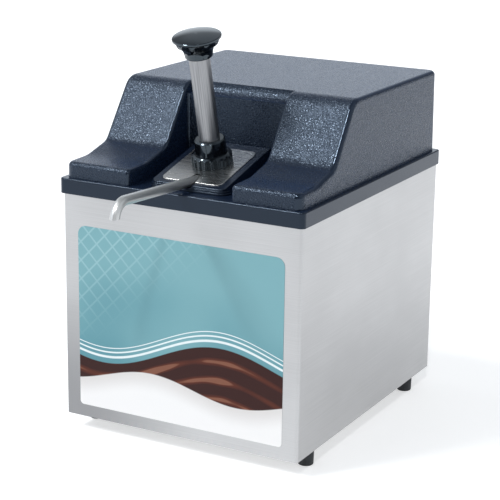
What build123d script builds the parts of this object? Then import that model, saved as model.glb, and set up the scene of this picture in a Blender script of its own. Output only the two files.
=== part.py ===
from build123d import *
import os
from math import atan2, cos, degrees, radians, sin, sqrt, tan

# A counter-top warmer for hot fudge. A stainless cabinet on rubber feet holds a heated well,
# a black deck caps it, a hood covers the well, and a leaning hand pump stands in a slot
# between the hood's two arms. X is the width, the front faces -Y, and Z = 0 is the counter.

os.makedirs("parts", exist_ok=True)

# ---------------------------------------------------------------- cabinet
cabinet_width = 266.0
cabinet_depth = 320.0
cabinet_height = 233.0  # sheet that shows, between its bottom edge and the deck
sheet = 1.2
bend_radius = 3.0
flange = 11.0  # edges of the shell that are turned in
deck_screw_inset = 40.0  # from the cabinet's front and rear faces
foot_flange = 24.0  # wider bottom edges, which the feet are screwed to
tuck = 8.0  # sheet that is hidden behind the deck's skirt
panel_gap = 0.3  # room round a loose sheet or moulding

foot_height = 16.6
foot_radius = 8.2
foot_inset_x = 10.4  # foot's centre to the cabinet's side face
foot_inset_y = 39.8
screw_radius = 2.0
screw_hole_radius = 2.2
screw_head_radius = 3.8
screw_head_height = 2.4
nut_radius = 4.0
nut_height = 3.0

# ---------------------------------------------------------------- deck and hood
deck_height = 15.5
deck_overhang = 3.0
deck_corner_radius = 5.0
deck_thickness = 3.5
deck_edge_radius = 1.4

hood_wall = 3.0
hood_side_inset = 2.0  # hood's foot inside the cabinet's side face
hood_draft = 0.7
hood_front_inset = 0.6  # hood's foot behind the cabinet's front face
hood_corner_radius = 9.0
hood_edge_radius = 5.0
hood_height = 86.5  # flat top above the deck
arm_front_height = 15.0
arm_mid_reach = 36.0  # from the front face to where the arms' tops begin to climb
arm_mid_height = 17.0
arm_rear_reach = 71.0  # to the foot of the steep slope
arm_rear_height = 26.2
slot_side_gap = 12.8  # between the pump insert's foot and the arms
slot_rear_gap = 2.6
slope_top_gap = 0.4  # top of the steep slope behind the slot's rear wall
slot_edge_radius = 3.5
slot_corner_radius = 3.0

# ---------------------------------------------------------------- pump
pump_tilt = 14.0  # lean to the front, in degrees
pump_reach = 65.0  # from the front face to the pump's axis, at the plate
plate_rise = 18.7  # plate's top above the deck, at the pump's axis
plate_half_width = 33.5
plate_front = 45.0
plate_rear = 33.0
plate_thickness = 1.5
plate_corner_radius = 7.0
surround_half_width = 41.0
surround_ahead = 49.5  # in front of the pump's axis
surround_behind = 45.4
surround_wall = 3.0
surround_corner_radius = 7.0
step_width = 1.6
step_height = 1.8

bore_radius = 12.7
barrel_wall = 1.6
neck_radius = 17.6
neck_height = 8.0
pump_flange_radius = 20.0
pump_flange_thickness = 2.0
barrel_end = 119.0  # below the plate
block_radius = 18.0
running_gap = 0.06

collar_radius = 20.6
collar_height = 11.2
collar_ribs = 18
collar_rib_radius = 2.0
guide_foot_radius = 16.0
guide_top_radius = 15.1
guide_top = 26.2

tube_radius = 10.3
tube_wall = 1.0
stroke = 60.0
knob_bottom = 111.6  # above the plate
knob_radius = 23.9
knob_neck_radius = 13.5
knob_rim_height = 20.9  # above the knob's bottom
knob_dome = 3.0
knob_flutes = 10

spout_radius = 4.76
spout_wall = 0.9
spout_slope = 3.2  # rise to the front, in degrees
spout_tip_lean = 20.0
spout_tip_reach = 110.5  # in front of the cabinet
spout_tip_drop = 0.0  # tip's height above the deck
spout_rise = 7.8  # its axis above the deck, at the surround's front
spout_bend = 16.0
riser_offset = 22.6  # discharge riser in front of the pump's axis
riser_bend = 14.0

# ---------------------------------------------------------------- well and heater
well_side_gap = 19.8  # between the well and the cabinet's faces
well_front_gap = 12.8
well_rear_gap = 18.8
well_floor = 58.0  # front floor above the cabinet's bottom edge
well_floor_rear = 118.0
well_floor_length = 119.0  # flat floor, from the well's front
well_corner_radius = 12.0
insulation_thickness = 8.5
insulation_height = 96.0
heater_side_gap = 28.2  # between the blanket's edge and the well's side
heater_length = 130.0
heater_thickness = 2.5
heater_plate_thickness = 1.0

# ---------------------------------------------------------------- rear panel
gland_x = -75.0
gland_rise = 40.0
gland_stick_out = 17.0
cord_radius = 4.0
switch_x = 62.0
switch_rise = 44.0

# ---------------------------------------------------------------- levels and places
body_bottom = foot_height
body_top = body_bottom + cabinet_height
shell_top = body_top + tuck
deck_top = body_top + deck_height
well_top = shell_top + sheet

half_width = cabinet_width / 2
hood_half_width = half_width - hood_side_inset
well_half_width = half_width - well_side_gap
slot_half_width = surround_half_width + 2 * step_width + slot_side_gap
slot_rear_reach = pump_reach + surround_behind + slot_rear_gap
heater_width = 2 * (well_half_width - heater_side_gap)
spout_foremost = spout_tip_reach + spout_radius / cos(radians(spout_tip_lean))
cabinet_y = (spout_foremost - gland_stick_out) / 2  # puts the origin in the middle of the whole
front_y = cabinet_y - cabinet_depth / 2
rear_y = cabinet_y + cabinet_depth / 2
foot_x = half_width - foot_inset_x
foot_y = cabinet_depth / 2 - foot_inset_y

lean = radians(pump_tilt)
pump_y = front_y + pump_reach
pump_z = deck_top + plate_rise
pump = Plane(origin=(0, pump_y, pump_z), x_dir=(1, 0, 0), z_dir=(0, -sin(lean), cos(lean)))
knob_socket_top = knob_bottom + 13.0
plate_hole_radius = neck_radius + 0.3


def pump_point(y, s):
    """The Y and Z of a point beside the pump's axis: y to the rear of it, s above the plate."""
    return pump_y + y * cos(lean) - s * sin(lean), pump_z + y * sin(lean) + s * cos(lean)


def export(part, name):
    part.label = name
    export_step(part, f"parts/{name}.step")


# ================================================================ cabinet

# Shell: one sheet folded round the front and the sides, with its edges turned in.
with BuildPart() as cabinet_shell:
    with BuildSketch(Plane.XY.offset(body_bottom)) as shell_plan:
        with Locations((0, cabinet_y)):
            Rectangle(cabinet_width, cabinet_depth)
        fillet(shell_plan.vertices().group_by(Axis.Y)[0], bend_radius)
    extrude(amount=shell_top - body_bottom)
    with BuildSketch(Plane.XY.offset(body_bottom + sheet)) as shell_inside:
        with Locations((0, cabinet_y - sheet / 2)):
            Rectangle(cabinet_width - 2 * sheet, cabinet_depth - 3 * sheet)
        fillet(shell_inside.vertices().group_by(Axis.Y)[0], bend_radius - sheet)
    extrude(amount=shell_top - body_bottom - 2 * sheet, mode=Mode.SUBTRACT)
    with BuildSketch(Plane.XY.offset(shell_top)):
        with Locations((0, cabinet_y)):
            Rectangle(cabinet_width - 2 * flange, cabinet_depth - 2 * flange)
    extrude(amount=-2 * sheet, mode=Mode.SUBTRACT)
    with BuildSketch(Plane.XY.offset(body_bottom)):
        with Locations((0, cabinet_y)):
            Rectangle(cabinet_width - 2 * foot_flange, cabinet_depth - 2 * foot_flange)
    extrude(amount=2 * sheet, mode=Mode.SUBTRACT)
    with BuildSketch(Plane.XZ.offset(-rear_y)):
        with Locations((0, (body_bottom + shell_top) / 2)):
            Rectangle(cabinet_width - 2 * sheet, shell_top - body_bottom)
    extrude(amount=sheet, mode=Mode.SUBTRACT)
    with BuildSketch(Plane.XZ.offset(-rear_y)):
        with Locations((0, (body_bottom + shell_top) / 2)):
            Rectangle(cabinet_width - 2 * flange, shell_top - body_bottom - 2 * flange)
    extrude(amount=3 * sheet, mode=Mode.SUBTRACT)
    rear_screw_x = half_width - flange / 2 - sheet / 2
    rear_screw_inset = 21.0  # from the panel's lower and upper edges
    rear_screw_rows = [
        body_bottom + rear_screw_inset,
        (body_bottom + body_top) / 2,
        body_top - rear_screw_inset,
    ]
    rear_screw_places = [(x, z) for x in (-rear_screw_x, rear_screw_x) for z in rear_screw_rows]
    with BuildSketch(Plane.XZ.offset(-rear_y)):
        with Locations(*rear_screw_places):
            Circle(screw_radius + 0.05)
    extrude(amount=3 * sheet, mode=Mode.SUBTRACT)
    with BuildSketch(Plane.XY.offset(body_bottom)):
        with Locations((0, cabinet_y)):
            with GridLocations(2 * foot_x, 2 * foot_y, 2, 2):
                Circle(screw_hole_radius)
    extrude(amount=sheet, mode=Mode.SUBTRACT)
    deck_screw_x = half_width - flange / 2 - sheet / 2
    deck_screw_pitch = cabinet_depth / 2 - deck_screw_inset
    with BuildSketch(Plane.XY.offset(shell_top)):
        with Locations((0, cabinet_y)):
            with GridLocations(2 * deck_screw_x, deck_screw_pitch, 2, 3):
                Circle(screw_hole_radius)
    extrude(amount=-sheet, mode=Mode.SUBTRACT)
export(cabinet_shell.part, "cabinet_shell")

# Rear panel: a flat sheet set into the back, with louvre slots and the inlet and switch holes.
gland_thread_radius = cord_radius + 4.0
switch_width = 22.0
switch_height = 27.6
louvre_drop = 75.0  # middle of the louvres below the cabinet's top
louvre_length = 60.0
louvre_width = 3.2
louvre_pitch_x = 90.0
louvre_pitch_z = 9.0
louvre_rows = 6
with BuildPart() as rear_panel:
    with BuildSketch(Plane.XZ.offset(-rear_y)):
        with Locations((0, (body_bottom + shell_top) / 2)):
            Rectangle(cabinet_width - 2 * sheet - 2 * panel_gap, shell_top - body_bottom - 2 * panel_gap)
        with Locations((gland_x, body_bottom + gland_rise)):
            Circle(gland_thread_radius + 0.2, mode=Mode.SUBTRACT)
        with Locations((switch_x, body_bottom + switch_rise)):
            Rectangle(switch_width + 0.4, switch_height + 0.4, mode=Mode.SUBTRACT)
        with Locations(*rear_screw_places):
            Circle(screw_hole_radius, mode=Mode.SUBTRACT)
        with Locations((0, body_top - louvre_drop)):
            with GridLocations(louvre_pitch_x, louvre_pitch_z, 2, louvre_rows):
                SlotOverall(louvre_length, louvre_width, mode=Mode.SUBTRACT)
    extrude(amount=sheet)
export(rear_panel.part, "rear_panel")

# Base pan: a shallow tray on the shell's bottom edges, with vent slots.
pan_bottom = body_bottom + sheet
pan_width = cabinet_width - 2 * sheet - 2 * panel_gap - 1
pan_depth = cabinet_depth - 3 * sheet - 2 * panel_gap - 1
pan_height = 10.0
vent_length = 34.0
vent_width = 4.0
vent_pitch_x = 50.0
vent_pitch_y = 14.0
with BuildPart() as base_pan:
    with BuildSketch(Plane.XY.offset(pan_bottom)) as pan_plan:
        with Locations((0, cabinet_y - sheet / 2)):
            Rectangle(pan_width, pan_depth)
        fillet(pan_plan.vertices(), bend_radius)
    extrude(amount=pan_height)
    with BuildSketch(Plane.XY.offset(pan_bottom + sheet)) as pan_inside:
        with Locations((0, cabinet_y - sheet / 2)):
            Rectangle(pan_width - 2 * sheet, pan_depth - 2 * sheet)
        fillet(pan_inside.vertices(), bend_radius - sheet)
    extrude(amount=pan_height, mode=Mode.SUBTRACT)
    with BuildSketch(Plane.XY.offset(pan_bottom)):
        with Locations((0, cabinet_y)):
            with GridLocations(2 * foot_x, 2 * foot_y, 2, 2):
                Circle(screw_hole_radius)
            with GridLocations(vent_pitch_x, vent_pitch_y, 3, 5):
                SlotOverall(vent_length, vent_width)
    extrude(amount=sheet, mode=Mode.SUBTRACT)
export(base_pan.part, "base_pan")

# Label: a thin printed panel stuck to the front.
label_side_margin = 17.0
label_top_margin = 31.0
label_bottom_margin = 13.0
label_thickness = 0.3
label_top_radius = 9.0
label_bottom_radius = 4.0
label_width = cabinet_width - 2 * label_side_margin
label_height = cabinet_height - label_top_margin - label_bottom_margin
with BuildPart() as front_label:
    with BuildSketch(Plane.XZ.offset(-front_y)) as label_face:
        with Locations((0, body_bottom + label_bottom_margin + label_height / 2)):
            Rectangle(label_width, label_height)
        fillet(label_face.vertices().group_by(Axis.Y)[-1], label_top_radius)
        fillet(label_face.vertices().group_by(Axis.Y)[0], label_bottom_radius)
    extrude(amount=label_thickness)
export(front_label.part, "front_label")

# Feet: turned rubber, each with its screw's head sunk in from below.
foot_head_depth = 9.0
foot_places = {
    "foot_front_left": (-foot_x, cabinet_y - foot_y),
    "foot_front_right": (foot_x, cabinet_y - foot_y),
    "foot_rear_left": (-foot_x, cabinet_y + foot_y),
    "foot_rear_right": (foot_x, cabinet_y + foot_y),
}
for name, (x, y) in foot_places.items():
    with BuildPart() as foot:
        with BuildSketch(Plane(origin=(x, y, 0), x_dir=(1, 0, 0), z_dir=(0, -1, 0))):
            with BuildLine():
                FilletPolyline(
                    (screw_head_radius + 0.6, 0),
                    (foot_radius - 0.5, 0),
                    (foot_radius, foot_height),
                    radius=1.2,
                )
                Polyline(
                    (foot_radius, foot_height),
                    (screw_hole_radius, foot_height),
                    (screw_hole_radius, foot_head_depth),
                    (screw_head_radius + 0.6, foot_head_depth),
                    (screw_head_radius + 0.6, 0),
                )
            make_face()
        revolve(axis=Axis((x, y, 0), (0, 0, 1)))
    export(foot.part, name)

# Foot screws and nuts: each screw clamps a foot, the shell's edge and the base pan.
with BuildPart() as foot_screws:
    with BuildSketch(Plane.XY.offset(foot_head_depth)):
        with Locations((0, cabinet_y)):
            with GridLocations(2 * foot_x, 2 * foot_y, 2, 2):
                Circle(screw_head_radius)
    extrude(amount=-screw_head_height)
    with BuildSketch(Plane.XY.offset(foot_head_depth)):
        with Locations((0, cabinet_y)):
            with GridLocations(2 * foot_x, 2 * foot_y, 2, 2):
                Circle(screw_radius)
    extrude(amount=pan_bottom + sheet + nut_height + 2 - foot_head_depth)
export(foot_screws.part, "foot_screws")

with BuildPart() as foot_nuts:
    with BuildSketch(Plane.XY.offset(pan_bottom + sheet)):
        with Locations((0, cabinet_y)):
            with GridLocations(2 * foot_x, 2 * foot_y, 2, 2):
                RegularPolygon(nut_radius, 6)
                Circle(screw_radius + 0.05, mode=Mode.SUBTRACT)
    extrude(amount=nut_height)
export(foot_nuts.part, "foot_nuts")

# Rear screws: pan heads outside the panel, shanks in the shell's flanges.
with BuildPart() as rear_screws:
    with BuildSketch(Plane.XZ.offset(-rear_y)):
        with Locations(*rear_screw_places):
            Circle(screw_head_radius)
    extrude(amount=-screw_head_height)
    fillet(rear_screws.faces().sort_by(Axis.Y)[-6:].edges(), 1.2)
    with BuildSketch(Plane.XZ.offset(-rear_y)):
        with Locations(*rear_screw_places):
            Circle(screw_radius)
    extrude(amount=8)
export(rear_screws.part, "rear_screws")

# ================================================================ heated well

# Well: a pressed pan hung by its rim; its floor is flat in front and climbs to the rear.
well_front = front_y + well_front_gap
well_rear = rear_y - well_rear_gap


def well_form(inset):
    """The well's space: its outside at inset 0, its inside at the sheet's thickness."""
    with BuildPart() as form:
        with BuildSketch(Plane.YZ.offset(-well_half_width + inset)):
            with BuildLine():
                FilletPolyline(
                    (well_front + inset, well_top),
                    (well_front + inset, body_bottom + well_floor + inset),
                    (well_front + well_floor_length, body_bottom + well_floor + inset),
                    (well_rear - inset, body_bottom + well_floor_rear + inset),
                    (well_rear - inset, well_top),
                    radius=well_corner_radius - inset,
                )
                Line((well_rear - inset, well_top), (well_front + inset, well_top))
            make_face()
        extrude(amount=2 * (well_half_width - inset))
    return form.part


with BuildPart() as heated_well:
    add(well_form(0))
    with BuildSketch(Plane.XY.offset(shell_top)) as well_rim:
        with Locations((0, cabinet_y)):
            Rectangle(cabinet_width - 5, cabinet_depth - 8)
        fillet(well_rim.vertices(), 4)
    extrude(amount=sheet)
    add(well_form(sheet), mode=Mode.SUBTRACT)
    with BuildSketch(Plane.XY.offset(shell_top)):
        with Locations((0, cabinet_y)):
            with GridLocations(2 * deck_screw_x, deck_screw_pitch, 2, 3):
                Circle(screw_hole_radius)
    extrude(amount=sheet, mode=Mode.SUBTRACT)
export(heated_well.part, "heated_well")

# Insulation: a band of glass-fibre blanket round the well's walls.
insulation_top = shell_top - sheet - 2
with BuildPart() as well_insulation:
    with BuildSketch(Plane.XY.offset(insulation_top)) as blanket_plan:
        with Locations((0, (well_front + well_rear) / 2)):
            Rectangle(
                2 * (well_half_width + insulation_thickness),
                well_rear - well_front + 2 * insulation_thickness,
            )
            fillet(blanket_plan.vertices(), 6)
            Rectangle(2 * well_half_width, well_rear - well_front, mode=Mode.SUBTRACT)
    extrude(amount=-insulation_height)
export(well_insulation.part, "well_insulation")

# Heater: a flexible blanket under the sloped floor, pressed to it by an aluminium plate.
slope_rise = well_floor_rear - well_floor
slope_run = well_rear - well_front - well_floor_length
slope_angle = degrees(atan2(slope_rise, slope_run))
slope_middle_y = well_front + well_floor_length + slope_run / 2
slope_middle_z = body_bottom + well_floor + slope_rise / 2
under_slope = Plane(
    origin=(0, slope_middle_y, slope_middle_z),
    x_dir=(1, 0, 0),
    z_dir=(0, sin(radians(slope_angle)), -cos(radians(slope_angle))),
)
with BuildPart() as heater_blanket:
    with BuildSketch(under_slope) as blanket_face:
        Rectangle(heater_width, heater_length)
        fillet(blanket_face.vertices(), 8)
    extrude(amount=heater_thickness)
export(heater_blanket.part, "heater_blanket")

heater_plate_edge = 3.0  # beyond the blanket
heater_hole_radius = 6.0
heater_hole_pitch = 40.0
with BuildPart() as heater_plate:
    with BuildSketch(under_slope.offset(heater_thickness)) as plate_face:
        Rectangle(heater_width + 2 * heater_plate_edge, heater_length + 2 * heater_plate_edge)
        fillet(plate_face.vertices(), 8)
        with GridLocations(heater_hole_pitch, heater_hole_pitch, 4, 3):
            Circle(heater_hole_radius, mode=Mode.SUBTRACT)
    extrude(amount=heater_plate_thickness)
export(heater_plate.part, "heater_plate")

# Thermostat and cut-out: snap discs held against the well's front floor.
disc_radius = 8.5
disc_height = 9.0
disc_tab_length = 7.0
disc_flange_length = 36.0
disc_flange_width = 11.0
disc_hole_pitch = 27.0
disc_x = 52.0
disc_y = well_front + 62.0
for name, x in (("thermostat", -disc_x), ("thermal_cutout", disc_x)):
    with BuildPart() as disc:
        with BuildSketch(Plane.XY.offset(body_bottom + well_floor)):
            with Locations((x, disc_y)):
                SlotOverall(disc_flange_length, disc_flange_width)
                with GridLocations(disc_hole_pitch, 0, 2, 1):
                    Circle(1.7, mode=Mode.SUBTRACT)
        extrude(amount=-0.8)
        with BuildSketch(Plane.XY.offset(body_bottom + well_floor)):
            with Locations((x, disc_y)):
                Circle(disc_radius)
        extrude(amount=-disc_height)
        with BuildSketch(Plane.XY.offset(body_bottom + well_floor - disc_height)):
            with Locations((x, disc_y)):
                with GridLocations(8, 0, 2, 1):
                    Rectangle(0.8, 6.3)
        extrude(amount=-disc_tab_length)
    export(disc.part, name)

# ================================================================ electrics

# Terminal block: a moulded block on the base pan, with brass screws on top.
block_x = -8.0
block_y = rear_y - 62.0
block_poles = 4
block_pitch = 12.0
block_depth = 20.0
block_height = 16.0
block_screw_depth = 4.0
block_row_pitch = 10.0
block_wire_rise = 6.0  # wire holes above the block's foot
block_bottom = pan_bottom + sheet
with BuildPart() as terminal_block:
    with BuildSketch(Plane.XY.offset(block_bottom)):
        with Locations((block_x, block_y)):
            Rectangle(block_poles * block_pitch, block_depth)
    extrude(amount=block_height)
    with BuildSketch(Plane.XY.offset(block_bottom + block_height)):
        with Locations((block_x, block_y)):
            with GridLocations(block_pitch, block_row_pitch, block_poles, 2):
                Circle(2.6)
    extrude(amount=-block_screw_depth, mode=Mode.SUBTRACT)
    with BuildSketch(Plane.XZ.offset(-block_y - block_depth / 2)):
        with Locations((block_x, block_bottom + block_wire_rise)):
            with GridLocations(block_pitch, 0, block_poles, 1):
                Circle(2.2)
    extrude(amount=block_depth, mode=Mode.SUBTRACT)
export(terminal_block.part, "terminal_block")

with BuildPart() as terminal_screws:
    with BuildSketch(Plane.XY.offset(block_bottom + block_height - block_screw_depth)):
        with Locations((block_x, block_y)):
            with GridLocations(block_pitch, block_row_pitch, block_poles, 2):
                Circle(2.4)
    extrude(amount=2.4)
export(terminal_screws.part, "terminal_screws")

# Cord gland: body through the rear panel, locknut inside, rubber seal and cap outside.
gland_z = body_bottom + gland_rise
gland_face = Plane(origin=(gland_x, rear_y, gland_z), x_dir=(-1, 0, 0), z_dir=(0, 1, 0))
gland_hex_radius = gland_thread_radius + 4.5
gland_hex_thickness = 5.0
gland_thread_length = 9.0  # inside the panel
gland_cap_wall = 4.0
gland_cap_grips = 12
gland_seal_radius = cord_radius + 2.2
with BuildPart() as gland_body:
    with BuildSketch(gland_face):
        RegularPolygon(gland_hex_radius, 6)
    extrude(amount=gland_hex_thickness)
    with BuildSketch(gland_face.offset(-gland_thread_length)):
        Circle(gland_thread_radius)
    extrude(amount=gland_thread_length + gland_stick_out - gland_cap_wall)
    with BuildSketch(gland_face.offset(-gland_thread_length)):
        Circle(gland_seal_radius)
    extrude(amount=gland_thread_length + gland_stick_out, mode=Mode.SUBTRACT)
export(gland_body.part, "gland_body")

with BuildPart() as gland_seal:
    with BuildSketch(gland_face.offset(-2)):
        Circle(gland_seal_radius)
        Circle(cord_radius, mode=Mode.SUBTRACT)
    extrude(amount=gland_stick_out - 2)
export(gland_seal.part, "gland_seal")

with BuildPart() as gland_cap:
    with BuildSketch(gland_face.offset(gland_hex_thickness)):
        Circle(gland_hex_radius - 0.8)
    extrude(amount=gland_stick_out - gland_hex_thickness)
    fillet(gland_cap.faces().sort_by(Axis.Y)[-1].edges(), 3)
    with BuildSketch(gland_face.offset(gland_hex_thickness)):
        Circle(gland_thread_radius + 0.05)
    extrude(amount=gland_stick_out - gland_hex_thickness - gland_cap_wall, mode=Mode.SUBTRACT)
    with BuildSketch(gland_face.offset(gland_hex_thickness)):
        Circle(gland_seal_radius + 0.05)
    extrude(amount=gland_stick_out - gland_hex_thickness - 2, mode=Mode.SUBTRACT)
    with BuildSketch(gland_face.offset(gland_hex_thickness)):
        Circle(cord_radius + 0.8)
    extrude(amount=gland_stick_out, mode=Mode.SUBTRACT)
    with BuildSketch(gland_face.offset(gland_hex_thickness)):
        with PolarLocations(gland_hex_radius + 0.2, gland_cap_grips):
            Circle(1.6)
    extrude(amount=gland_stick_out - gland_hex_thickness - gland_cap_wall, mode=Mode.SUBTRACT)
export(gland_cap.part, "gland_cap")

with BuildPart() as gland_locknut:
    with BuildSketch(gland_face.offset(-sheet)):
        RegularPolygon(gland_hex_radius, 6)
        Circle(gland_thread_radius + 0.05, mode=Mode.SUBTRACT)
    extrude(amount=-4)
export(gland_locknut.part, "gland_locknut")

# Power switch: a snap-in housing with a bezel, and a rocker that tips about an X axis.
switch_z = body_bottom + switch_rise
bezel_thickness = 2.0
rocker_half_length = 10.2
rocker_width = 14.6
rocker_swing = 16.0
rocker_end_rise = 4.0
rocker_valley_rise = 2.6
rocker_pivot_y = rear_y + 0.4
housing_depth = 22.0
switch_tab_length = 8.0
cavity_radius = 11.5
switch_face = Plane(origin=(switch_x, rear_y, switch_z), x_dir=(-1, 0, 0), z_dir=(0, 1, 0))
rocker_side = Plane(
    origin=(switch_x - rocker_width / 2, rocker_pivot_y, switch_z), x_dir=(0, 1, 0), z_dir=(1, 0, 0)
)
with BuildPart() as switch_housing:
    with BuildSketch(switch_face) as bezel:
        Rectangle(switch_width + 3.4, switch_height + 3.0)
        fillet(bezel.vertices(), 1.5)
    extrude(amount=bezel_thickness)
    with BuildSketch(switch_face):
        Rectangle(switch_width, switch_height)
    extrude(amount=-housing_depth)
    with BuildSketch(rocker_side.offset(-0.3)):
        Circle(cavity_radius)
    extrude(amount=rocker_width + 0.6, mode=Mode.SUBTRACT)
    with BuildSketch(rocker_side.offset(rocker_width / 2)):
        Circle(1.5)
    extrude(amount=rocker_width / 2 + 0.3, both=True)
    with BuildSketch(switch_face.offset(-housing_depth)):
        with GridLocations(9, 14, 2, 2):
            Rectangle(0.8, 6.3)
    extrude(amount=-switch_tab_length)
export(switch_housing.part, "switch_housing")

with BuildPart() as switch_rocker:
    with BuildSketch(rocker_side):
        with BuildLine():
            Polyline(
                (1.0, rocker_half_length),
                (rocker_end_rise, rocker_half_length),
                (rocker_valley_rise, 0),
                (rocker_end_rise, -rocker_half_length),
                (1.0, -rocker_half_length),
            )
            ThreePointArc(
                (1.0, -rocker_half_length), (-rocker_half_length * 0.62, 0), (1.0, rocker_half_length)
            )
        make_face()
        Circle(1.56, mode=Mode.SUBTRACT)
    extrude(amount=rocker_width)
rocker_axis = Axis((switch_x, rocker_pivot_y, switch_z), (1, 0, 0))
export(switch_rocker.part.rotate(rocker_axis, rocker_swing / 2), "switch_rocker")

# Wiring: insulated leads along the base, each a tube through straight runs and wide bends.
lead_radius = 1.3
lead_bend = 7.0
lead_approach = 24.0  # straight run in front of the terminal block
heater_exit = 20.0  # where the heater's leads leave it, up the slope from its middle
heater_lead_level = 24.0  # their bend above the terminals


def lead(points):
    """One insulated lead along the given points."""
    with BuildPart() as wire:
        with BuildLine() as route:
            FilletPolyline(*points, radius=lead_bend)
        with BuildSketch(Plane(origin=route.line @ 0, z_dir=route.line % 0)):
            Circle(lead_radius)
        sweep(path=route.line)
    return wire.part


block_front = block_y - block_depth / 2
block_rear = block_y + block_depth / 2
lead_z = block_bottom + block_wire_rise
pole_x = [block_x + (i - 1.5) * block_pitch for i in range(block_poles)]
heater_y = slope_middle_y + heater_exit
heater_under = slope_middle_z + heater_exit * tan(radians(slope_angle))
heater_under -= (heater_thickness + heater_plate_thickness) / cos(radians(slope_angle)) + lead_radius
with BuildPart() as heater_leads:
    for pole in (1, 2):
        x = pole_x[pole]
        add(
            lead(
                [
                    (x, heater_y, heater_under),
                    (x, heater_y - 2, lead_z + heater_lead_level),
                    (x, block_front - lead_approach, lead_z),
                    (x, block_front, lead_z),
                ]
            )
        )
export(heater_leads.part, "heater_leads")

disc_lead_z = body_bottom + well_floor - disc_height - disc_tab_length
with BuildPart() as thermostat_leads:
    for x, pole in ((-disc_x + 4, 0), (disc_x - 4, 3)):
        end_x = pole_x[pole]
        add(
            lead(
                [
                    (x, disc_y, disc_lead_z),
                    (x, disc_y, lead_z + 3),
                    (x, disc_y + 40, lead_z),
                    (end_x, block_front - lead_approach, lead_z),
                    (end_x, block_front, lead_z),
                ]
            )
        )
export(thermostat_leads.part, "thermostat_leads")

switch_tab_y = rear_y - housing_depth - switch_tab_length
with BuildPart() as supply_leads:
    for tab, pole in ((-1, 2), (1, 3)):
        tab_x = switch_x + 4.5 * tab
        end_x = pole_x[pole]
        mid_y = (switch_tab_y + block_rear) / 2
        add(
            lead(
                [
                    (tab_x, switch_tab_y, switch_z - 7),
                    (tab_x, switch_tab_y - 12 - 3 * tab, switch_z - 7),
                    (end_x + 14, mid_y + 3, lead_z + 8),
                    (end_x, block_rear + 8, lead_z),
                    (end_x, block_rear, lead_z),
                ]
            )
        )
export(supply_leads.part, "supply_leads")

# ================================================================ deck

# Deck: a moulded frame whose skirt overlaps the sheet, with openings for the pump and pouch.
deck_under = deck_top - deck_thickness
opening_side_room = 11.0  # between the valve block and the deck's opening
opening_ahead = 43.0  # in front of the pump's axis
opening_behind = 32.0
pouch_side_shelf = 7.2  # deck that overhangs the well
pouch_rear_shelf = 24.0
pouch_front_shelf = 8.0  # deck behind the slot's rear wall
lip_thickness = 2.0
lip_height = 4.0
lip_gap = 0.6
lip_end_gap = 30.0
lip_corner_gap = 15.0
pump_opening_half = block_radius + opening_side_room
pump_opening_front = pump_y - opening_ahead
pump_opening_rear = pump_y + opening_behind
pouch_opening_half = well_half_width - pouch_side_shelf
pouch_opening_front = front_y + slot_rear_reach + pouch_front_shelf
pouch_opening_rear = rear_y - pouch_rear_shelf
with BuildPart() as top_deck:
    with BuildSketch(Plane.XY.offset(body_top)) as deck_plan:
        with Locations((0, cabinet_y)):
            Rectangle(cabinet_width + 2 * deck_overhang, cabinet_depth + 2 * deck_overhang)
        fillet(deck_plan.vertices(), deck_corner_radius)
    extrude(amount=deck_height)
    fillet(top_deck.faces().sort_by(Axis.Z)[-1].edges(), deck_edge_radius)
    with BuildSketch(Plane.XY.offset(body_top)) as skirt_inside:
        with Locations((0, cabinet_y)):
            Rectangle(cabinet_width + 2 * panel_gap, cabinet_depth + 2 * panel_gap)
        fillet(skirt_inside.vertices().group_by(Axis.Y)[0], bend_radius)
    extrude(amount=deck_height - deck_thickness, mode=Mode.SUBTRACT)
    with BuildSketch(Plane.XY.offset(well_top)):
        with Locations((0, cabinet_y)):
            with GridLocations(2 * deck_screw_x, deck_screw_pitch, 2, 3):
                Circle(4.6)
    extrude(amount=deck_under - well_top)
    with BuildSketch(Plane.XY.offset(well_top)):
        with Locations((0, (well_front + well_rear) / 2)):
            Rectangle(2 * well_half_width + 8, well_rear - well_front + 8)
            Rectangle(2 * well_half_width + 2, well_rear - well_front + 2, mode=Mode.SUBTRACT)
    extrude(amount=deck_under - well_top)
    with BuildSketch(Plane.XY.offset(well_top)):
        with Locations((0, cabinet_y)):
            with GridLocations(2 * deck_screw_x, deck_screw_pitch, 2, 3):
                Circle(screw_radius + 0.05)
    extrude(amount=deck_under - well_top + 2, mode=Mode.SUBTRACT)
    with BuildSketch(Plane.XY.offset(deck_under)) as deck_openings:
        with Locations((0, (pump_opening_front + pump_opening_rear) / 2)):
            Rectangle(2 * pump_opening_half, pump_opening_rear - pump_opening_front)
        with Locations((0, (pouch_opening_front + pouch_opening_rear) / 2)):
            Rectangle(2 * pouch_opening_half, pouch_opening_rear - pouch_opening_front)
        fillet(deck_openings.vertices(), 5)
    extrude(amount=deck_thickness, mode=Mode.SUBTRACT)
    # low lips that the hood drops over
    lip_x = hood_half_width - hood_wall - lip_gap - lip_thickness / 2
    lip_y = rear_y - hood_front_inset - hood_wall - 2 * lip_gap - lip_thickness / 2
    with BuildSketch(Plane.XY.offset(deck_top)):
        with Locations((-lip_x, cabinet_y), (lip_x, cabinet_y)):
            Rectangle(lip_thickness, cabinet_depth - 2 * lip_end_gap)
        with Locations((0, lip_y)):
            Rectangle(2 * (lip_x - lip_corner_gap), lip_thickness)
    extrude(amount=lip_height)
export(top_deck.part, "top_deck")

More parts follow.
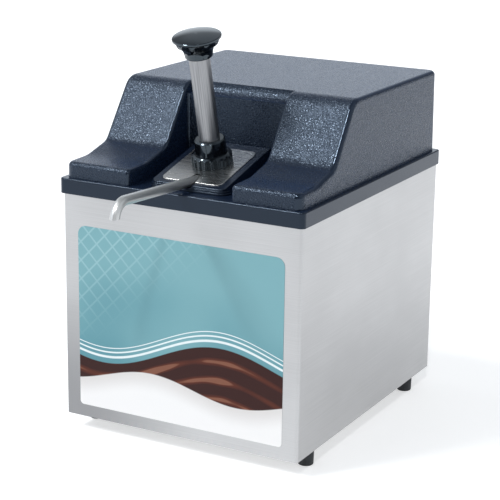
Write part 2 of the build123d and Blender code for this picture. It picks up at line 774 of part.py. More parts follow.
with BuildPart() as deck_screws:
    with BuildSketch(Plane.XY.offset(shell_top - sheet)):
        with Locations((0, cabinet_y)):
            with GridLocations(2 * deck_screw_x, deck_screw_pitch, 2, 3):
                Circle(screw_head_radius)
    extrude(amount=-screw_head_height)
    with BuildSketch(Plane.XY.offset(shell_top - sheet)):
        with Locations((0, cabinet_y)):
            with GridLocations(2 * deck_screw_x, deck_screw_pitch, 2, 3):
                Circle(screw_radius)
    extrude(amount=deck_under - shell_top + sheet + 1.5)
export(deck_screws.part, "deck_screws")

# ================================================================ hood

# Hood: a moulded cover. Its side outline is drawn once and cut by a drafted plan; the slot
# for the pump is cut with a rounded rear top edge. The inside repeats it, a wall thinner.
arm_points = [
    (front_y + hood_front_inset, deck_top + arm_front_height),
    (front_y + arm_mid_reach, deck_top + arm_mid_height),
    (front_y + arm_rear_reach, deck_top + arm_rear_height),
    (front_y + slot_rear_reach + slope_top_gap, deck_top + hood_height),
]
hood_rear = rear_y - hood_front_inset
top_edge_radius = 20.0  # between the steep slope and the flat top
slot_top_radius = 12.0  # between the slot's rear wall and the flat top
rear_edge_radius = 9.0


def hood_form(inset):
    """The hood's block with its slot: the outside at inset 0, the hollow at the wall."""
    far = 40.0
    with BuildPart() as form:
        with BuildSketch(Plane.YZ.offset(-cabinet_width)) as side:
            with BuildLine():
                FilletPolyline(
                    (front_y + hood_front_inset - far, deck_top - far),
                    (front_y + hood_front_inset - far, arm_points[0][1]),
                    arm_points[1],
                    arm_points[2],
                    arm_points[3],
                    (hood_rear + far, deck_top + hood_height),
                    (hood_rear + far, deck_top - far),
                    radius=[0, 60.0, 15.0, top_edge_radius, 0],
                )
                Line((hood_rear + far, deck_top - far), (front_y + hood_front_inset - far, deck_top - far))
            make_face()
            offset(amount=-inset)
        extrude(amount=2 * cabinet_width)
        with BuildSketch(Plane.XY.offset(deck_top)) as plan:
            with Locations((0, cabinet_y)):
                Rectangle(2 * (hood_half_width - inset), cabinet_depth - 2 * (hood_front_inset + inset))
            fillet(plan.vertices(), hood_corner_radius - inset)
        extrude(amount=hood_height + 1, taper=hood_draft, mode=Mode.INTERSECT)
        if inset == 0:
            fillet(form.edges().filter_by(on_hood_rim), hood_edge_radius)
    return form.part


def on_hood_rim(edge):
    """True for the edges between the hood's top surfaces and its walls."""
    middle = edge @ 0.5
    along = (edge @ 1) - (edge @ 0)
    if middle.Z < deck_top + arm_front_height - 1 or abs(along.Z) > 0.95 * edge.length:
        return False
    return abs(along.X) < 1 or middle.Y > hood_rear - 20 or middle.Y < front_y + 20


def on_slot_edge(edge):
    """True for the arms' edges beside the slot, from the front up to the slot's rear wall."""
    middle = edge @ 0.5
    beside = all(abs(abs((edge @ t).X) - slot_half_width) < 0.05 for t in (0, 0.5, 1))
    return beside and middle.Z > deck_top + 0.5 and middle.Y < front_y + slot_rear_reach - 1


def slot_form(inset):
    """What the pump's slot takes out of the hood, wider by the inset."""
    rear = front_y + slot_rear_reach + inset
    top = deck_top + hood_height - inset
    with BuildPart() as form:
        with BuildSketch(Plane.YZ.offset(-slot_half_width - inset)):
            with BuildLine():
                Polyline(
                    (rear, top - slot_top_radius),
                    (rear, deck_top - 5),
                    (front_y - 40, deck_top - 5),
                    (front_y - 40, top + 30),
                    (rear + slot_top_radius, top + 30),
                    (rear + slot_top_radius, top),
                )
                RadiusArc((rear + slot_top_radius, top), (rear, top - slot_top_radius), slot_top_radius)
            make_face()
        extrude(amount=2 * (slot_half_width + inset))
        if inset == 0:
            upright = form.edges().filter_by(Axis.Z).group_by(Axis.Y)[-2]
            fillet(upright, slot_corner_radius)
    return form.part


with BuildPart() as hood:
    add(hood_form(0))
    add(slot_form(0), mode=Mode.SUBTRACT)
    fillet(hood.edges().filter_by(on_slot_edge), slot_edge_radius)
    with BuildPart(mode=Mode.PRIVATE) as hollow:
        add(hood_form(hood_wall))
        add(slot_form(hood_wall), mode=Mode.SUBTRACT)
    add(hollow.part, mode=Mode.SUBTRACT)
export(hood.part, "hood")

# ================================================================ pump insert

# Spout and riser: one tube from the valve block up beside the barrel, out over the plate's
# front edge, and down at its tip, which is cut level.
spout_rise_z = deck_top + spout_rise
surround_front = pump_y - surround_ahead
slope = tan(radians(spout_slope))
tip_y = front_y - spout_tip_reach
tip_z = deck_top + spout_tip_drop
tip_run = radians(spout_tip_lean)
# where the tip's line meets the spout's line
tip_k = (spout_rise_z + slope * (surround_front - tip_y) - tip_z) / (cos(tip_run) + slope * sin(tip_run))
spout_corner = (tip_y + tip_k * sin(tip_run), tip_z + tip_k * cos(tip_run))
# where the spout's line meets the riser's line
riser_y, riser_z = pump_point(-riser_offset, 0)
riser_s = (spout_rise_z - slope * (riser_y - surround_front) - riser_z) / (cos(lean) - slope * sin(lean))
riser_corner = pump_point(-riser_offset, riser_s)
riser_end_s = -116.0
tip_extra = 3.0  # cut off again by the level cut
with BuildLine(Plane.YZ) as spout_route:
    FilletPolyline(
        pump_point(-riser_offset, riser_end_s),
        riser_corner,
        spout_corner,
        (tip_y - tip_extra * sin(tip_run), tip_z - tip_extra * cos(tip_run)),
        radius=[riser_bend, spout_bend],
    )
spout_start = Plane(origin=spout_route.line @ 0, z_dir=spout_route.line % 0)

with BuildPart() as spout_tube:
    with BuildSketch(spout_start):
        Circle(spout_radius)
        Circle(spout_radius - spout_wall, mode=Mode.SUBTRACT)
    sweep(path=spout_route.line)
    split(bisect_by=Plane.XY.offset(tip_z), keep=Keep.TOP)
export(spout_tube.part, "spout_tube")

with BuildPart() as spout_clearance:
    with BuildSketch(spout_start):
        Circle(spout_radius + 1.0)
    sweep(path=spout_route.line)

# Surround: a hollow wedge with a sloped top, a stepped foot and a spigot in the deck's opening.
surround_rear = pump_y + surround_behind
surround_top_s = -0.8
spigot_front = pump_opening_front + 5.0
spigot_rear = pump_opening_rear - 1.0
spigot_half = pump_opening_half - 1.0


def surround_block(grow, height):
    """A rounded block on the deck, larger than the surround's walls by grow, not at the rear."""
    with BuildPart() as block:
        with BuildSketch(Plane.XY.offset(deck_top)) as plan:
            with Locations((0, (surround_front - grow + surround_rear) / 2)):
                Rectangle(2 * (surround_half_width + grow), surround_rear - surround_front + grow)
            fillet(plan.vertices().group_by(Axis.Y)[0], surround_corner_radius + grow)
        extrude(amount=height)
    return block.part


with BuildPart() as pump_surround:
    add(surround_block(0, 60))
    split(bisect_by=pump.offset(surround_top_s), keep=Keep.BOTTOM)
    fillet(pump_surround.faces().sort_by(Axis.Z)[-1].edges(), 1.0)
    add(surround_block(step_width, 2 * step_height))
    add(surround_block(2 * step_width, step_height))
    with BuildPart(mode=Mode.PRIVATE) as wedge_hollow:
        with BuildSketch(Plane.XY.offset(deck_top + step_height + 0.4)) as inside_plan:
            with Locations((0, (surround_front + surround_rear) / 2)):
                Rectangle(
                    2 * (surround_half_width - surround_wall),
                    surround_rear - surround_front - 2 * surround_wall,
                )
            fillet(inside_plan.vertices(), surround_corner_radius - surround_wall)
        extrude(amount=60)
        split(bisect_by=pump.offset(surround_top_s - surround_wall), keep=Keep.BOTTOM)
    add(wedge_hollow.part, mode=Mode.SUBTRACT)
    with BuildSketch(Plane.XY.offset(deck_top + step_height + 0.4)) as spigot:
        with Locations((0, (spigot_front + spigot_rear) / 2)):
            Rectangle(2 * spigot_half, spigot_rear - spigot_front)
            fillet(spigot.vertices(), 4)
    extrude(amount=-step_height - 0.4 - deck_thickness)
    with BuildSketch(Plane.XY.offset(deck_top + step_height + 0.4)) as web_opening:
        with Locations((0, (spigot_front + spigot_rear) / 2)):
            Rectangle(2 * spigot_half - 5, spigot_rear - spigot_front - 5)
    extrude(amount=-30, mode=Mode.SUBTRACT)
    # seat for the plate, and the opening under it
    with BuildSketch(pump.offset(-plate_thickness)) as seat:
        with Locations((0, (plate_rear - plate_front) / 2)):
            Rectangle(2 * plate_half_width + 0.4, plate_front + plate_rear + 0.4)
        fillet(seat.vertices(), plate_corner_radius + 0.2)
    extrude(amount=plate_thickness, mode=Mode.SUBTRACT)
    with BuildSketch(pump.offset(-plate_thickness - surround_wall - 1)):
        with Locations((0, (plate_rear - plate_front) / 2 + 1)):
            Rectangle(2 * plate_half_width - 16, plate_front + plate_rear - 20)
    extrude(amount=surround_wall + 3, mode=Mode.SUBTRACT)
    stud_x = plate_half_width - 4.5
    stud_places = [(x, y) for x in (-stud_x, stud_x) for y in (-plate_front + 12, plate_rear - 5)]
    with BuildSketch(pump.offset(-plate_thickness - surround_wall - 1)):
        with Locations(*stud_places):
            Circle(1.7)
    extrude(amount=surround_wall + 3, mode=Mode.SUBTRACT)
    add(spout_clearance.part, mode=Mode.SUBTRACT)
export(pump_surround.part, "pump_surround")

# Plate: brushed stainless, with short studs underneath.
with BuildPart() as pump_plate:
    with BuildSketch(pump.offset(-plate_thickness)) as plate_plan:
        with Locations((0, (plate_rear - plate_front) / 2)):
            Rectangle(2 * plate_half_width, plate_front + plate_rear)
        fillet(plate_plan.vertices(), plate_corner_radius)
        Circle(plate_hole_radius, mode=Mode.SUBTRACT)
    extrude(amount=plate_thickness)
    fillet(pump_plate.faces().sort_by(Axis.Z)[-1].outer_wire().edges(), 0.4)
    stud_length = surround_wall + 3.4
    with BuildSketch(pump.offset(-plate_thickness)):
        with Locations(*stud_places):
            Circle(1.5)
    extrude(amount=-stud_length)
    add(spout_clearance.part, mode=Mode.SUBTRACT)
export(pump_plate.part, "pump_plate")

with BuildPart() as plate_nuts:
    with BuildSketch(pump.offset(surround_top_s - surround_wall)):
        with Locations(*stud_places):
            RegularPolygon(3.0, 6)
            Circle(1.55, mode=Mode.SUBTRACT)
    extrude(amount=-2.4)
export(plate_nuts.part, "plate_nuts")

# Barrel: stainless tube with a flange under the plate and a neck through it.
with BuildPart() as pump_cylinder:
    with BuildSketch(pump.offset(-plate_thickness)):
        Circle(pump_flange_radius)
    extrude(amount=-pump_flange_thickness)
    with BuildSketch(pump.offset(-plate_thickness)):
        Circle(neck_radius)
    extrude(amount=plate_thickness + neck_height)
    with BuildSketch(pump.offset(-barrel_end)):
        Circle(bore_radius + barrel_wall)
    extrude(amount=barrel_end)
    with BuildSketch(pump.offset(-barrel_end)):
        Circle(bore_radius)
    extrude(amount=barrel_end + neck_height, mode=Mode.SUBTRACT)
export(pump_cylinder.part, "pump_cylinder")

# Plunger guide: a bush whose spigot sits in the barrel; its flange is under the collar's lip.
guide_spigot = 12.0
guide_flange_thickness = 1.6
guide_bore_radius = tube_radius + running_gap
guide_lip = 1.2
with BuildPart() as plunger_guide:
    with BuildSketch(pump.offset(neck_height - guide_spigot)):
        Circle(bore_radius - 0.1)
    extrude(amount=guide_spigot)
    with BuildSketch(pump.offset(neck_height)):
        Circle(neck_radius - 0.1)
    extrude(amount=guide_flange_thickness)
    with BuildSketch(pump.offset(neck_height + guide_flange_thickness)):
        Circle(guide_foot_radius)
    with BuildSketch(pump.offset(guide_top)):
        Circle(guide_top_radius)
    loft()
    chamfer(plunger_guide.faces().sort_by(Axis.Z)[-1].edges(), guide_lip)
    with BuildSketch(pump.offset(neck_height - guide_spigot)):
        Circle(guide_bore_radius)
    extrude(amount=guide_spigot + guide_top, mode=Mode.SUBTRACT)
    with BuildSketch(pump.offset(guide_top - 6)):
        Circle(tube_radius + 2.0)
    extrude(amount=2.6, mode=Mode.SUBTRACT)
export(plunger_guide.part, "plunger_guide")

with BuildPart() as guide_seal:
    with BuildSketch(pump.offset(guide_top - 6)):
        Circle(tube_radius + 1.95)
        Circle(tube_radius + 0.05, mode=Mode.SUBTRACT)
    extrude(amount=2.5)
export(guide_seal.part, "guide_seal")

# Lock collar: fluted for the hand; its lip bears on the guide's flange.
collar_lip_bottom = neck_height + guide_flange_thickness + 0.1
collar_bottom = 0.15
with BuildPart() as lock_collar:
    with BuildSketch(pump.offset(collar_bottom)):
        Circle(collar_radius - collar_rib_radius * 0.8)
        with PolarLocations(collar_radius - collar_rib_radius, collar_ribs):
            Circle(collar_rib_radius)
    extrude(amount=collar_height - collar_bottom)
    with BuildPart(mode=Mode.PRIVATE) as collar_envelope:
        with BuildSketch(pump.offset(collar_bottom)):
            Circle(collar_radius + 0.5)
        extrude(amount=collar_height - collar_bottom - 2.2)
        with BuildSketch(pump.offset(collar_height - 2.2)):
            Circle(collar_radius + 0.5)
        with BuildSketch(pump.offset(collar_height)):
            Circle(collar_radius - 3.2)
        loft()
    add(collar_envelope.part, mode=Mode.INTERSECT)
    with BuildSketch(pump.offset(collar_bottom)):
        Circle(neck_radius + 0.08)
    extrude(amount=collar_lip_bottom - collar_bottom, mode=Mode.SUBTRACT)
    with BuildSketch(pump.offset(collar_bottom)):
        Circle(guide_foot_radius + 0.15)
    extrude(amount=collar_height, mode=Mode.SUBTRACT)
export(lock_collar.part, "lock_collar")

# Valve block: a moulded block at the barrel's end, with the inlet ball under the barrel and
# the outlet ball under the riser; a cross passage joins the two chambers.
block_top_s = -110.0
block_bottom_s = -152.0
chamber_top_s = -121.0
chamber_floor_s = -140.0
fitting_socket_s = -146.0
lobe_radius = 8.6
chamber_radius = 8.0
inlet_ball_radius = 6.3
inlet_bore_radius = 5.0
outlet_floor_s = -128.0
outlet_ball_radius = 4.5
outlet_chamber_radius = 5.6
passage_radius = 3.0
passage_s = -134.0
with BuildPart() as valve_block:
    with BuildSketch(pump.offset(block_bottom_s)):
        Circle(block_radius)
        with Locations((0, -riser_offset)):
            Circle(lobe_radius)
        with Locations((0, -riser_offset / 2)):
            Rectangle(2 * lobe_radius, riser_offset)
    extrude(amount=block_top_s - block_bottom_s)
    with BuildSketch(pump.offset(chamber_top_s)):
        Circle(bore_radius + barrel_wall + 0.05)
    extrude(amount=block_top_s - chamber_top_s, mode=Mode.SUBTRACT)
    with BuildSketch(pump.offset(chamber_floor_s)):
        Circle(chamber_radius)
    extrude(amount=chamber_top_s - chamber_floor_s, mode=Mode.SUBTRACT)
    with BuildSketch(pump.offset(fitting_socket_s)):
        Circle(inlet_bore_radius)
    extrude(amount=chamber_floor_s - fitting_socket_s, mode=Mode.SUBTRACT)
    with BuildSketch(pump.offset(block_bottom_s)):
        Circle(chamber_radius)
    extrude(amount=fitting_socket_s - block_bottom_s, mode=Mode.SUBTRACT)
    with BuildSketch(pump.offset(riser_end_s)):
        with Locations((0, -riser_offset)):
            Circle(spout_radius + 0.05)
    extrude(amount=block_top_s - riser_end_s, mode=Mode.SUBTRACT)
    with BuildSketch(pump.offset(outlet_floor_s)):
        with Locations((0, -riser_offset)):
            Circle(outlet_chamber_radius)
    extrude(amount=riser_end_s - outlet_floor_s, mode=Mode.SUBTRACT)
    with BuildSketch(pump.offset(passage_s)):
        with Locations((0, -riser_offset)):
            Circle(passage_radius)
    extrude(amount=outlet_floor_s - passage_s, mode=Mode.SUBTRACT)
    passage_y, passage_z = pump_point(0, passage_s)
    with BuildSketch(Plane(origin=(0, passage_y, passage_z), z_dir=(0, -cos(lean), -sin(lean)))):
        Circle(passage_radius)
    extrude(amount=riser_offset, mode=Mode.SUBTRACT)
export(valve_block.part, "valve_block")

with BuildPart() as spring_seat:
    with BuildSketch(pump.offset(chamber_top_s)):
        Circle(bore_radius - 0.1)
        Circle(3.0, mode=Mode.SUBTRACT)
        with PolarLocations(5.6, 6):
            Circle(1.5, mode=Mode.SUBTRACT)
    extrude(amount=1.6)
export(spring_seat.part, "spring_seat")

with BuildPart() as cylinder_o_ring:
    with BuildSketch(pump.offset(chamber_top_s)):
        Circle(bore_radius + barrel_wall)
        Circle(bore_radius, mode=Mode.SUBTRACT)
    extrude(amount=-barrel_end - chamber_top_s)
export(cylinder_o_ring.part, "cylinder_o_ring")

# Valve balls: steel, each a hair above the edge of its seat.
ball_gap = 0.06
for name, y, floor_s, ball_radius, seat_radius in (
    ("inlet_ball", 0, chamber_floor_s, inlet_ball_radius, inlet_bore_radius),
    ("outlet_ball", -riser_offset, outlet_floor_s, outlet_ball_radius, passage_radius),
):
    ball_y, ball_z = pump_point(y, floor_s + sqrt(ball_radius**2 - seat_radius**2) + ball_gap)
    with BuildPart() as ball:
        with Locations((0, ball_y, ball_z)):
            Sphere(ball_radius)
    export(ball.part, name)

# Inlet fitting: a nipple that the topping pouch's spout pushes on to, with its O-ring.
fitting_flange_s = -156.0
fitting_end_s = -174.0
nipple_radius = 8.0
groove_s = -164.0
groove_depth = 1.2
with BuildPart() as inlet_fitting:
    with BuildSketch(pump.offset(fitting_flange_s)):
        RegularPolygon(12.5, 6)
    extrude(amount=block_bottom_s - fitting_flange_s)
    with BuildSketch(pump.offset(block_bottom_s)):
        Circle(chamber_radius - 0.1)
    extrude(amount=fitting_socket_s - block_bottom_s - 0.2)
    with BuildSketch(pump.offset(fitting_end_s)):
        Circle(nipple_radius)
    extrude(amount=fitting_flange_s - fitting_end_s)
    chamfer(inlet_fitting.faces().sort_by(Axis.Z)[0].edges(), 1.5)
    with BuildSketch(pump.offset(groove_s)):
        Circle(nipple_radius + 2)
        Circle(nipple_radius - groove_depth, mode=Mode.SUBTRACT)
    extrude(amount=2.4, mode=Mode.SUBTRACT)
    with BuildSketch(pump.offset(fitting_end_s)):
        Circle(inlet_bore_radius)
    extrude(amount=fitting_socket_s - fitting_end_s, mode=Mode.SUBTRACT)
export(inlet_fitting.part, "inlet_fitting")

with BuildPart() as inlet_o_ring:
    with BuildSketch(pump.offset(groove_s + 0.1)):
        Circle(nipple_radius + 0.6)
        Circle(nipple_radius - groove_depth + 0.05, mode=Mode.SUBTRACT)
    extrude(amount=2.2)
export(inlet_o_ring.part, "inlet_o_ring")

# ================================================================ plunger

# Piston: its top meets the guide's spigot when the plunger is up.
piston_top_s = neck_height - guide_spigot - 0.3
piston_length = 13.6
piston_socket = 9.5
seal_s = piston_top_s - 8.5
seal_height = 3.4
seal_groove_radius = 10.9
spring_peg_radius = 8.0
spring_peg_length = 5.0
piston_bottom_s = piston_top_s - piston_length
with BuildPart() as piston:
    with BuildSketch(pump.offset(piston_bottom_s)):
        Circle(bore_radius - 0.2)
    extrude(amount=piston_length)
    with BuildSketch(pump.offset(piston_bottom_s)):
        Circle(spring_peg_radius)
    extrude(amount=-spring_peg_length)
    with BuildSketch(pump.offset(seal_s)):
        Circle(bore_radius)
        Circle(seal_groove_radius, mode=Mode.SUBTRACT)
    extrude(amount=seal_height, mode=Mode.SUBTRACT)
    with BuildSketch(pump.offset(piston_top_s)):
        Circle(tube_radius + 0.02)
        Circle(tube_radius - tube_wall - 0.02, mode=Mode.SUBTRACT)
    extrude(amount=-piston_socket, mode=Mode.SUBTRACT)
export(piston.part, "piston")

with BuildPart() as piston_seal:
    with BuildSketch(pump.offset(seal_s + 0.05)):
        Circle(bore_radius - running_gap)
        Circle(seal_groove_radius + 0.05, mode=Mode.SUBTRACT)
    extrude(amount=seal_height - 0.1)
export(piston_seal.part, "piston_seal")

with BuildPart() as plunger_tube:
    with BuildSketch(pump.offset(piston_top_s - piston_socket)):
        Circle(tube_radius)
        Circle(tube_radius - tube_wall, mode=Mode.SUBTRACT)
    extrude(amount=knob_socket_top - piston_top_s + piston_socket)
export(plunger_tube.part, "plunger_tube")

# Plug: closes the tube's top, and its stud holds the knob.
plug_length = 12.0
stud_radius = 3.0
with BuildPart() as tube_plug:
    with BuildSketch(pump.offset(knob_socket_top - plug_length)):
        Circle(tube_radius - tube_wall)
    extrude(amount=plug_length)
    with BuildSketch(pump.offset(knob_socket_top)):
        Circle(stud_radius)
    extrude(amount=5)
export(tube_plug.part, "tube_plug")

# Knob: a moulded mushroom with a fluted skirt under its rim and a waisted neck.
rim_s = knob_bottom + knob_rim_height
knob_top = rim_s + knob_dome
flare_s = knob_bottom + 12.7
knob_side = Plane(origin=pump.origin, x_dir=pump.x_dir, z_dir=-pump.y_dir)
with BuildPart() as plunger_knob:
    with BuildSketch(knob_side):
        with BuildLine():
            Polyline(
                (0, knob_top),
                (0, knob_bottom),
                (knob_neck_radius - 0.6, knob_bottom),
                (knob_neck_radius, knob_bottom + 0.6),
                (knob_neck_radius + 0.4, knob_bottom + 3),
            )
            ThreePointArc(
                (knob_neck_radius + 0.4, knob_bottom + 3),
                (knob_neck_radius + 2.0, knob_bottom + 8.6),
                (knob_radius - 4.0, flare_s),
            )
            Polyline(
                (knob_radius - 4.0, flare_s),
                (knob_radius - 2.1, flare_s + 4.1),
                (knob_radius, rim_s - 2.0),
                (knob_radius, rim_s - 0.5),
                (knob_radius - 0.5, rim_s),
            )
            TangentArc((0, knob_top), (knob_radius - 0.5, rim_s), tangent=(1, 0))
        make_face()
    revolve(axis=Axis(pump.origin, pump.z_dir))
    with BuildSketch(pump.offset(knob_bottom + 9)):
        with PolarLocations(knob_radius + 3.4, knob_flutes):
            Circle(6.2)
    extrude(amount=rim_s - 3.4 - knob_bottom - 9, mode=Mode.SUBTRACT)
    with BuildSketch(pump.offset(knob_bottom)):
        Circle(tube_radius + 0.05)
    extrude(amount=knob_socket_top - knob_bottom, mode=Mode.SUBTRACT)
    with BuildSketch(pump.offset(knob_socket_top)):
        Circle(stud_radius + 0.05)
    extrude(amount=5.4, mode=Mode.SUBTRACT)
export(plunger_knob.part, "plunger_knob")

# Return spring: stands on its seat and pushes the piston up.
spring_radius = 10.4
spring_wire = 0.9
spring_turns = 12
spring_low_s = chamber_top_s + 1.6 + spring_wire + 0.05
spring_high_s = piston_bottom_s - spring_wire - 0.05
spring_height = spring_high_s - spring_low_s
spring_base = pump.offset(spring_low_s)
with BuildPart() as return_spring:
    with BuildLine() as coil:
        Helix(
            pitch=spring_height / spring_turns,
            height=spring_height,
            radius=spring_radius,
            center=spring_base.origin,
            direction=pump.z_dir,
        )
    with BuildSketch(Plane(origin=coil.line @ 0, z_dir=coil.line % 0)):
        Circle(spring_wire)
    sweep(path=coil.line, is_frenet=True)
export(return_spring.part, "return_spring")
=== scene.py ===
import math

import bmesh
import bpy
from mathutils import Matrix, Vector, noise


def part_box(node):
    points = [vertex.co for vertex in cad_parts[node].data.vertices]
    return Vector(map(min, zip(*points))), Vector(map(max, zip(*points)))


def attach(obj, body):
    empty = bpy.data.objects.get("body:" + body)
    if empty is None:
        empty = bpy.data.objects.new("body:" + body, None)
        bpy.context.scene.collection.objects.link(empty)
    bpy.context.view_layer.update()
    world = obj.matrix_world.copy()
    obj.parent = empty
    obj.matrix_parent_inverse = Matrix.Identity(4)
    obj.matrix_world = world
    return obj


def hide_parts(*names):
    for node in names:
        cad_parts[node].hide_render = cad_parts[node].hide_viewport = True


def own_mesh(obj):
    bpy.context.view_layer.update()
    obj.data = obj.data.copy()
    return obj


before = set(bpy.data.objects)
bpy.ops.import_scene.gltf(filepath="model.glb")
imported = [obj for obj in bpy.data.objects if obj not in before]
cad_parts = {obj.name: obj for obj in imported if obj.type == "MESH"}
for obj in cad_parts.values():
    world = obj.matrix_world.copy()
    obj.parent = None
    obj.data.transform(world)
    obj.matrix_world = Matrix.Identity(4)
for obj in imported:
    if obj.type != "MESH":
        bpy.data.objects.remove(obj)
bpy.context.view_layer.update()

# ---------------------------------------------------------------- cabinet shell
# One stainless sheet, folded round the front and the sides, with a brushed finish whose
# lines run level. The light it throws back is soft and pale, drawn out across the lines.


def linear(colour):
    """An sRGB hex colour as linear RGBA."""
    parts = [int(colour[i : i + 2], 16) / 255 for i in (1, 3, 5)]
    return [c / 12.92 if c <= 0.04045 else ((c + 0.055) / 1.055) ** 2.4 for c in parts] + [1.0]


def node(tree, kind, settings=None, inputs=None, out=0):
    """Adds a shader node with its settings and links, and returns one of its outputs."""
    made = tree.nodes.new("ShaderNode" + kind)
    for name, value in (settings or {}).items():
        setattr(made, name, value)
    for name, value in (inputs or {}).items():
        if isinstance(value, bpy.types.NodeSocket):
            tree.links.new(value, made.inputs[name])
        else:
            made.inputs[name].default_value = value
    return made.outputs[out] if len(made.outputs) else None


def new_finish(name):
    """A new material with an empty node tree."""
    material = bpy.data.materials.new(name)
    material.use_nodes = True
    material.node_tree.nodes.clear()
    return material, material.node_tree


def surface(tree, inputs):
    """Ends a material with its surface."""
    shader = node(tree, "BsdfPrincipled", {}, inputs)
    node(tree, "OutputMaterial", {}, {"Surface": shader})


def across(tree, x_mm, y_mm, z_mm, lean=0.0):
    """The piece's own coordinates, one unit to so many mm each way, first turned about X."""
    own = node(tree, "TexCoord", out="Object")
    leaned = node(tree, "Mapping", {}, {"Vector": own, "Rotation": (lean, 0, 0)})
    scale = (1000 / x_mm, 1000 / y_mm, 1000 / z_mm)
    return node(tree, "Mapping", {}, {"Vector": leaned, "Scale": scale})


def dress(names, material):
    """Gives the CAD nodes a material."""
    for name in names:
        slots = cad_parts[name].data.materials
        slots.clear()
        slots.append(material)


# Mix takes the second colour's share at input 0 and the colours at 6 and 7, and gives the
# colour at output 2. Map Range moves input 0 from the levels at 1 and 2 to those at 3 and 4.
two_tone = {"data_type": "RGBA"}
eased = {"interpolation_type": "SMOOTHSTEP"}

# brush lines are a tenth of a millimetre; drawn 0.9 mm wide so that they show
sheet_steel, tree = new_finish("brushed stainless sheet")
lines = node(
    tree, "TexNoise", {}, {"Vector": across(tree, 120, 120, 0.9), "Scale": 1.0, "Detail": 3.0}
)
clouds = node(
    tree, "TexNoise", {}, {"Vector": across(tree, 90, 90, 60), "Scale": 1.0, "Detail": 2.0}
)
tone = node(tree, "Math", {"operation": "MULTIPLY_ADD"}, {0: clouds, 1: 0.8, 2: lines})
tone = node(tree, "MapRange", eased, {0: tone, 1: 0.6, 2: 1.2, 3: 0, 4: 1})
brushed = node(tree, "Mix", two_tone, {0: tone, 6: linear("#b4b4b5"), 7: linear("#bfbfc0")}, 2)
# painted shade, standing in for a dark reflection: the front's lower left corner is painted
# darker than the rest, and the side only at its very edge, as depth counts eight times in the
# distance from that corner
depth_weight = 8
shade_full_reach, shade_end_reach = 0.02, 0.17
shell_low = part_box("cabinet_shell")[0]
own = node(tree, "TexCoord", out="Object")
stretched = node(tree, "Mapping", {}, {"Vector": own, "Scale": (1, depth_weight, 1)})
corner = (shell_low.x, shell_low.y * depth_weight, shell_low.z)
from_corner = node(
    tree, "VectorMath", {"operation": "DISTANCE"}, {0: stretched, 1: corner}, "Value"
)
painted_corner_shade = node(
    tree, "MapRange", eased, {0: from_corner, 1: shade_full_reach, 2: shade_end_reach, 3: 0.9, 4: 0}
)
surface(
    tree,
    {
        "Base Color": node(tree, "Mix", two_tone, {0: painted_corner_shade, 6: brushed, 7: linear("#8c8c8e")}, 2),
        "Metallic": 1.0,
        "Roughness": node(tree, "MapRange", eased, {0: lines, 1: 0.25, 2: 0.75, 3: 0.33, 4: 0.39}),
        "Normal": node(tree, "Bump", {}, {"Strength": 0.12, "Distance": 0.00003, "Height": lines}),
    },
)
dress(["cabinet_shell", "rear_panel"], sheet_steel)

# ---------------------------------------------------------------- base pan
# A shallow tray of galvanised sheet that closes the cabinet underneath, with vent slots.
# The zinc coat shows large dull crystals.
galvanised, tree = new_finish("galvanised sheet")
spangle = node(tree, "TexVoronoi", {}, {"Vector": across(tree, 7, 7, 7), "Scale": 1.0}, "Color")
crystal = node(tree, "SeparateColor", {}, {0: spangle})
zinc = node(tree, "Mix", two_tone, {0: crystal, 6: linear("#8d9194"), 7: linear("#b7babb")}, 2)
surface(
    tree,
    {
        "Base Color": zinc,
        "Metallic": 1.0,
        "Roughness": node(tree, "MapRange", eased, {0: crystal, 1: 0, 2: 1, 3: 0.38, 4: 0.55}),
    },
)
dress(["base_pan"], galvanised)

# ---------------------------------------------------------------- front label
# A printed vinyl panel stuck to the front: a cloudy teal ground with a chocolate wave over a
# white one. Semi-gloss, and flat on the sheet.
label_low, label_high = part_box("front_label")
label_middle = (label_low + label_high) / 2
label_size = label_high - label_low

# u runs from -0.5 to 0.5 across the label, and v from 0 at its foot to 1 at its top
printed_vinyl, tree = new_finish("printed vinyl label")
own = node(tree, "TexCoord", out="Object")
label_foot = (label_middle.x, 0, label_low.z)
on_label = node(tree, "VectorMath", {"operation": "SUBTRACT"}, {0: own, 1: label_foot})
per_size = (1 / label_size.x, 0, 1 / label_size.z)
scaled = node(tree, "VectorMath", {"operation": "MULTIPLY"}, {0: on_label, 1: per_size})
u = node(tree, "SeparateXYZ", {}, {0: scaled}, "X")
v = node(tree, "SeparateXYZ", {}, {0: scaled}, "Z")


def above_wave(height, swell, waves, start, tilt=0.0):
    """How far a point of the label is above a wavy line, as a share of the label's height."""
    rate = waves * 2 * math.pi
    phase = node(tree, "Math", {"operation": "MULTIPLY_ADD"}, {0: u, 1: rate, 2: start})
    wave = node(tree, "Math", {"operation": "SINE"}, {0: phase})
    lifted = node(tree, "Math", {"operation": "MULTIPLY_ADD"}, {0: wave, 1: swell, 2: height})
    sloped = node(tree, "Math", {"operation": "MULTIPLY_ADD"}, {0: u, 1: tilt, 2: lifted})
    return node(tree, "Math", {"operation": "SUBTRACT"}, {0: v, 1: sloped})


# the ground's clouds are soft and paler towards the top
cloud_space = node(
    tree, "Mapping", {}, {"Vector": scaled, "Scale": (2.1, 1, 1.5), "Location": (3.3, 0, 1.2)}
)
drift = node(
    tree, "TexNoise", {}, {"Vector": cloud_space, "Scale": 1.0, "Detail": 1.5, "Roughness": 0.4}
)
climb = node(tree, "Math", {"operation": "MULTIPLY_ADD"}, {0: v, 1: 0.55, 2: drift})
climb = node(tree, "MapRange", eased, {0: climb, 1: 0.5, 2: 1.05, 3: 0, 4: 1})
ground = node(tree, "Mix", two_tone, {0: climb, 6: linear("#5f939e"), 7: linear("#7dabb2")}, 2)

